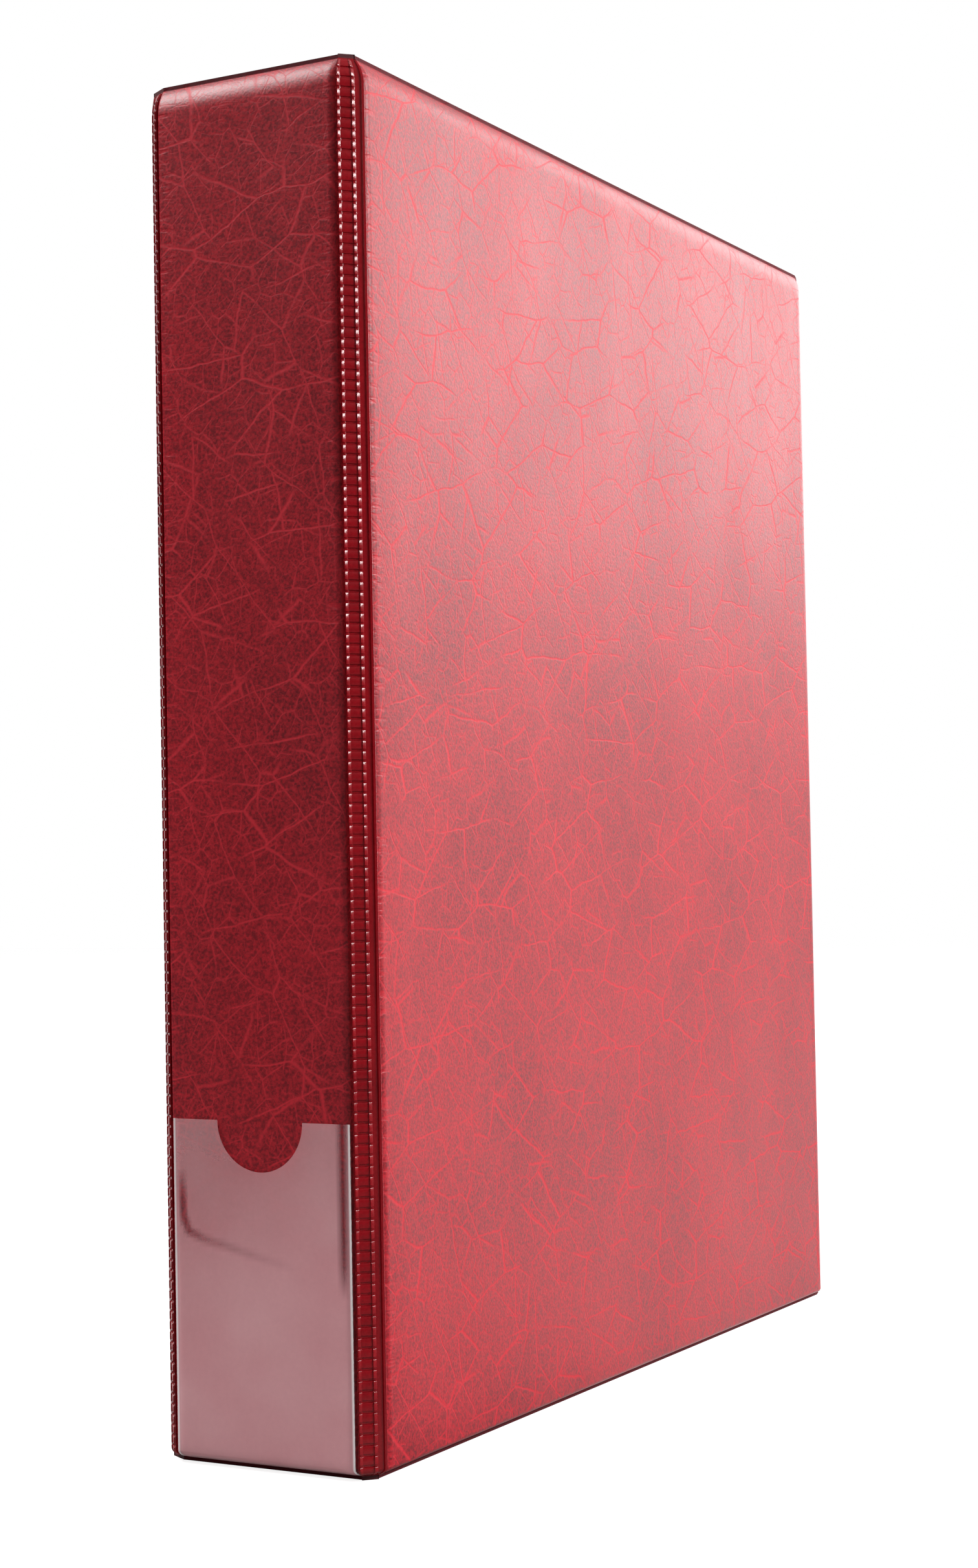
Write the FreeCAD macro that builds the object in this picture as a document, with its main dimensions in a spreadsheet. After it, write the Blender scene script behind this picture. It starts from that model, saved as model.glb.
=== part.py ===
import FreeCAD, Part
import os
import re

import Sketcher

# A stamp album that stands closed on its bottom edge: welded vinyl covers and spine over grey board, a
# mechanism of four D rings riveted inside the back cover, and six stock leaves threaded on its posts.
# Frame, in mm: X runs from the back cover to the front cover, Y from the spine to the fore-edge and Z up.
# The origin is in the middle of the album's foot. Angles are in degrees.

SIZES = {
    # Whole album, closed
    "album_height": 270,
    "album_depth": 230,
    "album_thickness": 50,
    # How far the cutting tools overrun
    "cut_margin": 1,
    # Welded panels: lining, board and skin, with a weld flange round the edge
    "lining_thickness": 0.4,
    "board_thickness": 2.5,
    "skin_thickness": 0.5,
    "flange_width": 1.2,
    "corner_radius": 1.5,
    "slope_width": 5,
    "board_inset": 4,
    "hinge_slope": 2,
    "hinge_drop": 1.5,
    "hinge_inset": 1.2,
    # Ladder welds between spine and covers
    "hinge_setback": 4,
    "strip_thickness": 0.9,
    "strip_gap": 0.2,
    "rail_start": 0.35,
    "rail_width": 0.5,
    "rail_spacing": 2.85,
    "rail_height": 0.3,
    "rung_pitch": 2,
    "rung_width": 1.3,
    "rung_height": 0.22,
    # Label pocket on the spine
    "pocket_rise": 0.4,
    "pocket_gap": 0.2,
    "pocket_top": 66.7,
    "pocket_side": 0.6,
    "pocket_weld": 1.2,
    "notch_radius": 9.75,
    # Ring mechanism: arched plate on the back lining
    "ring_setback": 21.2,
    "plate_length": 208,
    "plate_width": 23,
    "plate_wall": 3.8,
    "plate_crown": 7.8,
    "plate_sheet": 0.9,
    # Toggle blades
    "pivot_height": 2.8,
    "pivot_offset": 10.05,
    "blade_width": 10,
    "blade_thickness": 1,
    "blade_rest_angle": 6,
    "blade_end_inset": 8.5,
    "ring_travel": 14,
    # D rings of round wire
    "wire_diameter": 3,
    "ring_inner_spacing": 65,
    "ring_outer_spacing": 45,
    "ring_height": 35,
    "foot_height": 1.6,
    "post_offset": 7.5,
    "post_bend": 3.5,
    "arc_radius": 14,
    "arc_foot": 4.5,
    "tip_offset": 0.5,
    "tip_gap": 0.3,
    "wire_clearance": 0.4,
    # Rivets
    "rivet_inset": 13,
    "rivet_shank": 4.4,
    "rivet_head": 10,
    "rivet_head_flat": 6,
    "rivet_head_height": 0.5,
    "rivet_top": 8,
    "rivet_top_flat": 4.5,
    "rivet_top_height": 0.9,
    "rivet_rim": 0.12,
    "rivet_clearance": 0.2,
    "blade_notch": 6.4,
    # End levers and their pins
    "pin_diameter": 1.6,
    "pin_height": 2.9,
    "pin_inset": 4,
    "pin_clearance": 0.08,
    "hub_diameter": 3.8,
    "hub_width": 14,
    "lever_reach": 15,
    "lever_rise": 4.6,
    "lever_sheet": 1.2,
    "lever_neck": 5.5,
    "lever_flare": 3,
    "lever_width": 20,
    "lever_corner": 4,
    "tongue_reach": 5.8,
    "tongue_width": 3,
    "tongue_low": 0.4,
    "tongue_high": 0.95,
    "tongue_root": 0.8,
    # Stock leaves
    "leaf_height": 252,
    "leaf_width": 203,
    "leaf_first": 9.9,
    "leaf_pitch": 1.8,
    "card_thickness": 0.5,
    "leaf_corner": 4,
    "margin_width": 20.5,
    "hole_margin": 9,
    "slot_clearance": 0.3,
    "score_gap": 0.8,
    "tape_width": 12,
    "tape_thickness": 0.15,
    "window_thickness": 0.15,
    "window_pitch": 40,
    "window_height": 35,
    "window_start": 8,
    "window_edge": 5,
    "window_foot": 8.5,
}
LEAVES = 6
WINDOWS = 6
WIRE_FLATS = 8
POST_CHORDS = 3
ARC_CHORDS = 8
RIVET_FLATS = 16

doc = FreeCAD.newDocument("stamp_album")
sheet = doc.addObject("Spreadsheet::Sheet", "dims")
for row, (size_name, size) in enumerate(SIZES.items(), 1):
    sheet.set(f"A{row}", size_name)
    sheet.set(f"B{row}", str(size))
    sheet.setAlias(f"B{row}", size_name)
doc.recompute()

X_AXIS = FreeCAD.Vector(1, 0, 0)
Y_AXIS = FreeCAD.Vector(0, 1, 0)
Z_AXIS = FreeCAD.Vector(0, 0, 1)
TINY = 1e-6
nodes = {}


def in_sheet(expression):
    """Point each size name in an expression at its cell."""
    return re.sub(r"\b([a-z]+(?:_[a-z]+)+)\b", r"dims.\1", expression)


def value(expression):
    return float(sheet.evalExpression(in_sheet(expression)))


def bind(item, expressions):
    for prop, expression in expressions.items():
        item.setExpression(prop, in_sheet(expression))


def keep(name, item):
    """Name the object that stands for one piece of the album."""
    item.Label = name
    nodes[name] = item
    return item


def new_body(name, place, turn=None):
    body = doc.addObject("PartDesign::Body", name)
    seat(body, place, turn)
    return body


def seat(item, place, turn=None):
    """Tie an object's place to the sheet, turned by a fixed rotation."""
    if turn is not None:
        item.Placement = FreeCAD.Placement(FreeCAD.Vector(), turn)
    bind(item, {f"Placement.Base.{axis}": spot for axis, spot in zip("xyz", place)})


def sketch(body, name, role, lift="0"):
    item = body.newObject("Sketcher::SketchObject", name)
    plane = next(feature for feature in body.Origin.OriginFeatures if feature.Role == role)
    item.AttachmentSupport = [(plane, "")]
    item.MapMode = "FlatFace"
    bind(item, {"AttachmentOffset.Base.z": lift})
    return item


def pin_point(item, run, end, x, y):
    """Tie one end of a run to its two coordinates."""
    for kind, expression in (("DistanceX", x), ("DistanceY", y)):
        rule = Sketcher.Constraint(kind, -1, 1, run, end, value(expression))
        bind(item, {f"Constraints[{item.addConstraint(rule)}]": expression})


def outline(item, points, closed=True):
    """Draw a line through points. A point with a centre and a turn is reached along an arc, +1 for left."""
    spots = [FreeCAD.Vector(value(point[0]), value(point[1]), 0) for point in points]
    count = len(points) if closed else len(points) - 1
    ends = []
    for index in range(count):
        after = (index + 1) % len(points)
        start, stop, target = spots[index], spots[after], points[after]
        if len(target) == 2:
            ends.append((item.addGeometry(Part.LineSegment(start, stop)), 1, 2))
            continue
        centre = FreeCAD.Vector(value(target[2]), value(target[3]), 0)
        first, last = (start, stop) if target[4] > 0 else (stop, start)
        angles = [FreeCAD.Vector(spot - centre).getAngle(X_AXIS) for spot in (first, last)]
        angles = [-angle if spot.y < centre.y else angle for angle, spot in zip(angles, (first, last))]
        whole = Part.Circle(centre, Z_AXIS, (first - centre).Length)
        run = item.addGeometry(Part.ArcOfCircle(whole, angles[0], angles[1]))
        ends.append((run, 1, 2) if target[4] > 0 else (run, 2, 1))
        chord = stop - start
        kind, spot = ("DistanceY", target[3]) if abs(chord.x) > abs(chord.y) else ("DistanceX", target[2])
        rule = Sketcher.Constraint(kind, -1, 1, run, 3, value(spot))
        bind(item, {f"Constraints[{item.addConstraint(rule)}]": spot})
    for index, (run, start_end, stop_end) in enumerate(ends):
        pin_point(item, run, start_end, points[index][0], points[index][1])
        if index + 1 < len(ends) or closed:
            after_run, after_end, _ = ends[(index + 1) % len(ends)]
            item.addConstraint(Sketcher.Constraint("Coincident", run, stop_end, after_run, after_end))
    if not closed:
        pin_point(item, ends[-1][0], ends[-1][2], points[-1][0], points[-1][1])


def rectangle(item, left, low, right, high):
    outline(item, [(left, low), (right, low), (right, high), (left, high)])


def pad(body, profile, length):
    item = body.newObject("PartDesign::Pad", f"{profile.Name}_pad")
    item.Profile = profile
    bind(item, {"Length": length})
    doc.recompute()
    return item


def round_edges(body, feature, radius, wanted):
    """Round the edges of a feature that a test on an edge's middle picks out."""
    picked = []
    for number, edge in enumerate(feature.Shape.Edges, 1):
        if wanted(edge, edge.BoundBox.Center):
            picked.append(f"Edge{number}")
    item = body.newObject("PartDesign::Fillet", f"{feature.Name}_round")
    item.Base = (feature, picked)
    bind(item, {"Radius": radius})
    doc.recompute()
    return item


def cylinder(name, place, direction, radius, length):
    item = doc.addObject("Part::Cylinder", name)
    seat(item, place, FreeCAD.Rotation(Z_AXIS, direction))
    bind(item, {"Radius": radius, "Height": length})
    return item


def box(name, place, length, width, height):
    item = doc.addObject("Part::Box", name)
    seat(item, place)
    bind(item, {"Length": length, "Width": width, "Height": height})
    return item


def compound(name, items):
    item = doc.addObject("Part::Compound", name)
    item.Links = items
    return item


def cut(name, base, tools):
    item = doc.addObject("Part::Cut", name)
    item.Base = base
    item.Tool = compound(f"{name}_tools", tools)
    return item


def fuse(name, items):
    item = doc.addObject("Part::MultiFuse", name)
    item.Shapes = items
    return item


# Where the panels stand. The back face is set in by the rivet heads and the spine face by the pocket.
panel = "(lining_thickness + board_thickness + skin_thickness)"
front_face = "(album_thickness / 2)"
back_face = "(rivet_head_height - album_thickness / 2)"
front_inner = f"({front_face} - {panel})"
back_inner = f"({back_face} + {panel})"
spine_face = "(pocket_rise - album_depth / 2)"
spine_inner = f"({spine_face} + {panel})"
cover_start = f"({spine_face} + hinge_setback)"
cover_end = "(album_depth / 2)"
spine_left = f"({back_face} + hinge_setback)"
spine_right = f"({front_face} - hinge_setback)"

# Ring mechanism's line, its rivets and rings along the height
ring_y = f"({spine_inner} + ring_setback)"
plate_low = "((album_height - plate_length) / 2)"
plate_high = "((album_height + plate_length) / 2)"
ring_levels = [
    "(album_height / 2 - ring_inner_spacing / 2 - ring_outer_spacing)",
    "(album_height / 2 - ring_inner_spacing / 2)",
    "(album_height / 2 + ring_inner_spacing / 2)",
    "(album_height / 2 + ring_inner_spacing / 2 + ring_outer_spacing)",
]
rivet_levels = {
    "lower": f"({plate_low} + rivet_inset)",
    "upper": f"({plate_high} - rivet_inset)",
}
pin_levels = {
    "lower": f"({plate_low} + pin_inset)",
    "upper": f"({plate_high} - pin_inset)",
}

# Each panel is drawn on its own inner face: across, then up, then outwards. A hinge side rolls over tightly.
FRONT = {
    "turn": FreeCAD.Rotation(Y_AXIS, Z_AXIS, X_AXIS, "XYZ"),
    "place": (front_inner, "0", "0"),
    "left": cover_start,
    "right": cover_end,
    "hinges": ("left",),
}
BACK = {
    "turn": FreeCAD.Rotation(-Y_AXIS, Z_AXIS, -X_AXIS, "XYZ"),
    "place": (back_inner, "0", "0"),
    "left": f"-{cover_end}",
    "right": f"-{cover_start}",
    "hinges": ("right",),
}
SPINE = {
    "turn": FreeCAD.Rotation(X_AXIS, Z_AXIS, -Y_AXIS, "XYZ"),
    "place": ("0", spine_inner, "0"),
    "left": spine_left,
    "right": spine_right,
    "hinges": ("left", "right"),
}


# Height of the weld above a panel's inner face, and the arc along which its outer face slopes down to it
weld_level = "(lining_thickness + skin_thickness)"
slope_radius = "((slope_width ^ 2 + board_thickness ^ 2) / (2 * board_thickness))"
slope_centre = f"({panel} - {slope_radius})"
slope_end = "(flange_width + slope_width)"


def inset_sides(side, weld_inset, hinge_inset):
    """Left and right limits of a panel, moved in by what each kind of side asks for."""
    left_inset = hinge_inset if "left" in side["hinges"] else weld_inset
    right_inset = hinge_inset if "right" in side["hinges"] else weld_inset
    return f"({side['left']} + ({left_inset}))", f"({side['right']} - ({right_inset}))"


def flat_sheet(name, side, lift, thickness):
    """A sheet over the whole panel, with its welded corners rounded."""
    body = new_body(name, side["place"], side["turn"])
    shape = sketch(body, f"{name}_outline", "XY_Plane", lift)
    rectangle(shape, side["left"], "0", side["right"], "album_height")
    sheet_pad = pad(body, shape, thickness)
    weld_sides = [value(side[end]) for end in ("left", "right") if end not in side["hinges"]]
    if weld_sides:
        round_edges(body, sheet_pad, "corner_radius", lambda edge, middle: (
            edge.BoundBox.ZLength > TINY and any(abs(middle.x - spot) < TINY for spot in weld_sides)))
    return body


def raised_form(name, side):
    """What the skin bulges into: the crossing of a profile up the panel and a profile across it."""
    roll_radius = "((hinge_slope ^ 2 + hinge_drop ^ 2) / (2 * hinge_drop))"
    roll_centre = f"({panel} - {roll_radius})"
    left, right = inset_sides(side, "flange_width", "0")

    upright = new_body(f"{name}_upright", side["place"], side["turn"])
    shape = sketch(upright, f"{name}_upright_outline", "YZ_Plane", left)
    high, high_top = "(album_height - flange_width)", f"(album_height - {slope_end})"
    outline(shape, [
        ("flange_width", "lining_thickness"),
        (high, "lining_thickness"),
        (high, weld_level),
        (high_top, panel, high_top, slope_centre, 1),
        (slope_end, panel),
        ("flange_width", weld_level, slope_end, slope_centre, 1),
    ])
    pad(upright, shape, f"{right} - {left}")

    level = new_body(f"{name}_level", side["place"], side["turn"])
    shape = sketch(level, f"{name}_level_outline", "XZ_Plane", "-album_height")
    inner_left, inner_right = inset_sides(side, slope_end, "hinge_slope")
    hinge_edge = (f"({panel} - hinge_drop)", roll_centre)
    weld_edge = (weld_level, slope_centre)
    left_level, left_centre = hinge_edge if "left" in side["hinges"] else weld_edge
    right_level, right_centre = hinge_edge if "right" in side["hinges"] else weld_edge
    outline(shape, [
        (left, "lining_thickness"),
        (right, "lining_thickness"),
        (right, right_level),
        (inner_right, panel, inner_right, right_centre, 1),
        (inner_left, panel),
        (left, left_level, inner_left, left_centre, 1),
    ])
    pad(level, shape, "album_height")

    form = doc.addObject("Part::Common", f"{name}_raised")
    form.Base = upright
    form.Tool = level
    return form


def welded_panel(prefix, skin_prefix, side, holes):
    """Lining, board and skin of one panel, with holes through all three where the panel has rivets."""
    lining = flat_sheet(f"{skin_prefix}_lining_sheet", side, "0", "lining_thickness")
    board = new_body(f"{prefix}_board_slab", side["place"], side["turn"])
    shape = sketch(board, f"{prefix}_board_outline", "XY_Plane", "lining_thickness")
    left, right = inset_sides(side, "flange_width + board_inset", "hinge_inset")
    rectangle(shape, left, "flange_width + board_inset", right, "album_height - flange_width - board_inset")
    pad(board, shape, "board_thickness")
    flange = flat_sheet(f"{skin_prefix}_flange", side, "lining_thickness", "skin_thickness")
    skin = fuse(f"{skin_prefix}_whole", [flange, raised_form(skin_prefix, side)])
    if holes:
        keep(f"{skin_prefix}_lining", cut(f"{skin_prefix}_lining_holed", lining, holes))
        keep(f"{prefix}_board", cut(f"{prefix}_board_holed", board, holes))
    else:
        keep(f"{skin_prefix}_lining", lining)
        keep(f"{prefix}_board", board)
    keep(f"{skin_prefix}_skin", cut(f"{skin_prefix}_skin_shell", skin, [board] + holes))


def hinge_strip(name, corner, turn, out, inward):
    """Ladder weld on the bevel between spine and cover: two rails and the rungs between them."""
    width = "(hinge_setback * sqrt(2))"
    body = new_body(name, (corner[0], corner[1], "0"), turn)
    shape = sketch(body, f"{name}_section", "XY_Plane")
    rail_end = "(rail_start + rail_width)"
    second_rail = "(rail_start + rail_spacing)"
    second_end = "(rail_start + rail_spacing + rail_width)"
    outline(shape, [
        ("0", "0"),
        ("strip_thickness", f"{inward}strip_thickness"),
        (f"{width} - strip_thickness - strip_gap", f"{inward}strip_thickness"),
        (f"{width} - strip_gap", "0"),
        (second_end, "0"),
        (second_end, f"{out}rail_height"),
        (second_rail, f"{out}rail_height"),
        (second_rail, "0"),
        (rail_end, "0"),
        (rail_end, f"{out}rail_height"),
        ("rail_start", f"{out}rail_height"),
        ("rail_start", "0"),
    ])
    pad(body, shape, "album_height")
    rung = sketch(body, f"{name}_rung", "XY_Plane", "rung_pitch - rung_width")
    rectangle(rung, rail_end, "0", second_rail, f"{out}rung_height")
    rung_pad = pad(body, rung, "rung_width")
    ladder = body.newObject("PartDesign::LinearPattern", f"{name}_ladder")
    ladder.Originals = [rung_pad]
    ladder.Direction = (next(line for line in body.Origin.OriginFeatures if line.Role == "Z_Axis"), [""])
    ladder.Mode = "Spacing"
    bind(ladder, {"Offset": "rung_pitch", "Occurrences": "floor(album_height / rung_pitch) - 1"})
    body.Tip = ladder
    keep(name, body)


def label_pocket():
    """Clear film over the foot of the spine, welded at its sides and foot, with a thumb notch on top."""
    left, right = f"({spine_left} + pocket_side)", f"({spine_right} - pocket_side)"
    middle = f"(({spine_left} + {spine_right}) / 2)"
    film = new_body("pocket_film", SPINE["place"], SPINE["turn"])
    shape = sketch(film, "pocket_film_section", "YZ_Plane", left)
    outer_radius = f"({slope_radius} + pocket_rise)"
    outer_foot = f"({slope_centre} + sqrt({outer_radius} ^ 2 - slope_width ^ 2))"
    outline(shape, [
        ("pocket_top", panel),
        ("pocket_top", f"{panel} + pocket_rise"),
        (slope_end, f"{panel} + pocket_rise"),
        ("flange_width", outer_foot, slope_end, slope_centre, 1),
        ("flange_width", weld_level),
        (slope_end, panel, slope_end, slope_centre, -1),
    ])
    pad(film, shape, f"{right} - {left}")
    hollow = new_body("pocket_hollow", SPINE["place"], SPINE["turn"])
    shape = sketch(hollow, "pocket_hollow_outline", "XY_Plane", panel)
    rectangle(shape, f"{left} + pocket_weld", slope_end, f"{right} - pocket_weld", "pocket_top + cut_margin")
    pad(hollow, shape, "pocket_gap")
    notch = cylinder("pocket_notch", (middle, spine_inner, "pocket_top"), -Y_AXIS,
                     "notch_radius", f"{panel} + 2 * pocket_rise")
    keep("label_pocket", cut("pocket_open", film, [hollow, notch]))


def ring_plate():
    """Arched sheet with upright walls, pierced for the rings, the rivets and the lever pins."""
    half = "(plate_width / 2)"
    rise = "(plate_crown - plate_wall)"
    radius = f"(({half} ^ 2 + {rise} ^ 2) / (2 * {rise}))"
    centre = f"(plate_crown - {radius})"
    inner_half = f"({half} - plate_sheet)"
    inner_wall = f"({centre} + sqrt(({radius} - plate_sheet) ^ 2 - {inner_half} ^ 2))"
    arch = new_body("plate_arch", (back_inner, ring_y, plate_low))
    shape = sketch(arch, "plate_section", "XY_Plane")
    outline(shape, [
        ("0", f"-{half}"),
        ("0", f"-{inner_half}"),
        (inner_wall, f"-{inner_half}"),
        (inner_wall, inner_half, centre, "0", 1),
        ("0", inner_half),
        ("0", half),
        ("plate_wall", half),
        ("plate_wall", f"-{half}", centre, "0", -1),
    ])
    pad(arch, shape, "plate_length")
    post_swing = "(post_offset + (plate_crown - pivot_height) * sin(ring_travel))"
    slots = []
    for number, level in enumerate(ring_levels, 1):
        wire = "(wire_diameter / 2 + wire_clearance)"
        post_low = f"(post_offset - {wire})"
        post_high = f"({post_swing} + {wire})"
        low_z = f"{level} - {wire}"
        inside = f"{back_inner} + pivot_height"
        slots.append(box(f"post_slot_{number}", (inside, f"{ring_y} + {post_low}", low_z),
                         "plate_crown", f"{post_high} - {post_low}", f"2 * {wire}"))
        arc_high = "(pivot_offset - wire_clearance / 2)"
        slots.append(box(f"arc_slot_{number}", (inside, f"{ring_y} - {arc_high}", low_z),
                         "plate_crown", f"{arc_high} - arc_foot", f"2 * {wire}"))
    for end, level in rivet_levels.items():
        slots.append(cylinder(f"{end}_plate_hole", (back_inner, ring_y, level), X_AXIS,
                              "rivet_shank / 2 + rivet_clearance", "plate_crown + cut_margin"))
    for end, level in pin_levels.items():
        slots.append(cylinder(f"{end}_pin_hole",
                              (f"{back_inner} + pin_height", f"{ring_y} - plate_width", level), Y_AXIS,
                              "pin_diameter / 2 + pin_clearance / 2", "2 * plate_width"))
    keep("ring_plate", cut("plate_pierced", arch, slots))


def ring_half(name, level, points, lean):
    """Wire bent along a path, starting square to its foot. Its round section is drawn with a few flats."""
    body = new_body(name, (back_inner, ring_y, level))
    path = sketch(body, f"{name}_path", "XY_Plane")
    outline(path, points, closed=False)
    section = sketch(body, f"{name}_section", "YZ_Plane", points[0][0])
    section.AttachmentOffset = FreeCAD.Placement(FreeCAD.Vector(), FreeCAD.Rotation(-Y_AXIS, value(lean)))
    bind(section, {
        "AttachmentOffset.Base.x": points[0][1],
        "AttachmentOffset.Base.z": points[0][0],
        "AttachmentOffset.Rotation.Angle": lean,
    })
    turns = [f"{number} * 360 / {WIRE_FLATS}" for number in range(WIRE_FLATS)]
    radius = "wire_diameter / 2"
    outline(section, [(f"{radius} * cos({turn})", f"{radius} * sin({turn})") for turn in turns])
    bent = body.newObject("PartDesign::AdditivePipe", f"{name}_wire")
    bent.Profile = section
    bent.Spine = (path, [f"Edge{number}" for number in range(1, len(points))])
    bent.Transition = "Right corner"
    doc.recompute()
    return keep(name, body)


def rings():
    """Four D rings. Posts stand straight; arcs lean out from the plate and bow over to meet the posts.

    Each bend is drawn as a few chords.
    """
    bend_start = "(ring_height - post_bend)"
    bend_end = "(post_offset - post_bend)"
    square = "asin(1)"
    post_path = [("foot_height", "post_offset")]
    for chord in range(POST_CHORDS + 1):
        turn = f"({square} * {chord} / {POST_CHORDS})"
        post_path.append((f"{bend_start} + post_bend * sin({turn})", f"{bend_end} + post_bend * cos({turn})"))
    post_path.append(("ring_height", "tip_offset + tip_gap"))
    centre_v, centre_u = "(ring_height - arc_radius)", "tip_offset"
    rise, run = f"({centre_v} - foot_height)", f"({centre_u} + arc_foot)"
    distance = f"sqrt({rise} ^ 2 + {run} ^ 2)"
    lean = f"(asin(arc_radius / {distance}) - atan2({run}; {rise}))"
    arc_path = [("foot_height", "-arc_foot")]
    for chord in range(ARC_CHORDS, -1, -1):
        turn = f"(({square} + {lean}) * {chord} / {ARC_CHORDS})"
        arc_path.append((f"{centre_v} + arc_radius * cos({turn})", f"{centre_u} - arc_radius * sin({turn})"))
    posts, arcs = [], []
    for number, level in enumerate(ring_levels, 1):
        posts.append(ring_half(f"ring_post_{number}", level, post_path, "0"))
        arcs.append(ring_half(f"ring_arc_{number}", level, arc_path, lean))
    return posts, arcs


def blade(name, side, wires):
    """Flat strip that rocks on its round outer edge, with the wires staked through it."""
    half = "(blade_thickness / 2)"
    inner = "blade_width" if side < 0 else "-blade_width"
    pivot = f"{ring_y} + pivot_offset" if side > 0 else f"{ring_y} - pivot_offset"
    turn = FreeCAD.Rotation(-side * Z_AXIS, value("blade_rest_angle"))
    place = (f"{back_inner} + pivot_height", pivot, f"{plate_low} + blade_end_inset")
    body = new_body(f"{name}_strip", place, turn)
    bind(body, {"Placement.Rotation.Angle": "blade_rest_angle"})
    shape = sketch(body, f"{name}_section", "XY_Plane")
    outline(shape, [
        (f"-{half}", inner),
        (half, inner),
        (half, "0"),
        (f"-{half}", "0", "0", "0", side),
    ])
    pad(body, shape, "plate_length - 2 * blade_end_inset")
    notches = []
    for end, level in rivet_levels.items():
        notches.append(cylinder(f"{name}_{end}_notch", (back_inner, ring_y, level), X_AXIS,
                                "blade_notch / 2", "plate_crown"))
    keep(name, cut(f"{name}_pierced", body, notches + wires))


def rivet_head(name, place, turn, width, flat, height):
    """Round head drawn with a few flats, chamfered from a thin rim to a flat middle."""
    body = new_body(name, place, turn)
    shape = sketch(body, f"{name}_outline", "XY_Plane")
    turns = [f"{number} * 360 / {RIVET_FLATS}" for number in range(RIVET_FLATS)]
    outline(shape, [(f"{width} / 2 * cos({angle})", f"{width} / 2 * sin({angle})") for angle in turns])
    disc = pad(body, shape, height)
    edges = [f"Edge{number}" for number, edge in enumerate(disc.Shape.Edges, 1)
             if edge.BoundBox.ZMin > value(height) / 2]
    cone = body.newObject("PartDesign::Chamfer", f"{name}_cone")
    cone.Base = (disc, edges)
    cone.ChamferType = "Two distances"
    bind(cone, {"Size": f"{height} - rivet_rim", "Size2": f"({width} - {flat}) / 2"})
    doc.recompute()
    return body


def rivet(end, level):
    """Rivet: low coned head outside the cover, shank through it, coned head on the plate's crown."""
    skin_face, crown = f"({back_inner} - {panel})", f"({back_inner} + plate_crown)"
    head = rivet_head(f"{end}_rivet_head", (skin_face, ring_y, level), FreeCAD.Rotation(Z_AXIS, -X_AXIS),
                      "rivet_head", "rivet_head_flat", "rivet_head_height")
    top = rivet_head(f"{end}_rivet_top", (crown, ring_y, level), FreeCAD.Rotation(Z_AXIS, X_AXIS),
                     "rivet_top", "rivet_top_flat", "rivet_top_height")
    shank = doc.addObject("Part::Prism", f"{end}_rivet_shank")
    shank.Polygon = RIVET_FLATS
    seat(shank, (skin_face, ring_y, level), FreeCAD.Rotation(Z_AXIS, X_AXIS))
    bind(shank, {"Circumradius": "rivet_shank / 2", "Height": f"{crown} - {skin_face}"})
    keep(f"{end}_rivet", fuse(f"{end}_rivet_whole", [head, shank, top]))


def lever(end, level, turn):
    """Pressed lever on a cross pin: a flared thumb plate outside and a tongue under the blades inside."""
    place = (f"{back_inner} + pin_height", ring_y, level)
    half = "(lever_sheet / 2)"
    slant = new_body(f"{end}_slant", place, turn)
    shape = sketch(slant, f"{end}_slant_outline", "XY_Plane", "-lever_width / 2")
    outline(shape, [
        ("0", f"-{half}"),
        ("lever_reach", f"lever_rise - {half}"),
        ("lever_reach", f"lever_rise + {half}"),
        ("0", half),
    ])
    pad(slant, shape, "lever_width")
    plan = new_body(f"{end}_plan", place, turn)
    shape = sketch(plan, f"{end}_plan_outline", "XZ_Plane", "-lever_reach")
    side, neck, corner = "(lever_width / 2)", "(hub_width / 2)", "(lever_reach - lever_corner)"
    flank = f"({side} - lever_corner)"
    outline(shape, [
        ("0", f"-{neck}"),
        ("lever_neck", f"-{neck}"),
        ("lever_neck + lever_flare", f"-{side}"),
        (corner, f"-{side}"),
        ("lever_reach", f"-{flank}", corner, f"-{flank}", 1),
        ("lever_reach", flank),
        (corner, side, corner, flank, 1),
        ("lever_neck + lever_flare", side),
        ("lever_neck", neck),
        ("0", neck),
    ])
    pad(plan, shape, "2 * lever_reach")
    thumb = doc.addObject("Part::Common", f"{end}_thumb")
    thumb.Base = slant
    thumb.Tool = plan
    tongue = new_body(f"{end}_tongue", place, turn)
    shape = sketch(tongue, f"{end}_tongue_outline", "XY_Plane", "-tongue_width / 2")
    outline(shape, [
        ("-tongue_reach", "tongue_low - pin_height"),
        ("tongue_root", "tongue_low - pin_height"),
        ("tongue_root", "0"),
        ("-tongue_root", "0"),
        ("-tongue_root", "tongue_high - pin_height"),
        ("-tongue_reach", "tongue_high - pin_height"),
    ])
    pad(tongue, shape, "tongue_width")
    hub = cylinder(f"{end}_hub", (place[0], f"{ring_y} - hub_width / 2", level), Y_AXIS,
                   "hub_diameter / 2", "hub_width")
    bore = cylinder(f"{end}_bore", (place[0], f"{ring_y} - hub_width", level), Y_AXIS,
                    "pin_diameter / 2 + pin_clearance", "2 * hub_width")
    whole = fuse(f"{end}_lever_whole", [thumb, tongue, hub])
    keep(f"{end}_lever", cut(f"{end}_lever_bored", whole, [bore]))
    keep(f"{end}_lever_pin", cylinder(f"{end}_pin", (place[0], f"{ring_y} - plate_width / 2", level), Y_AXIS,
                                      "pin_diameter / 2", "plate_width"))


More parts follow.
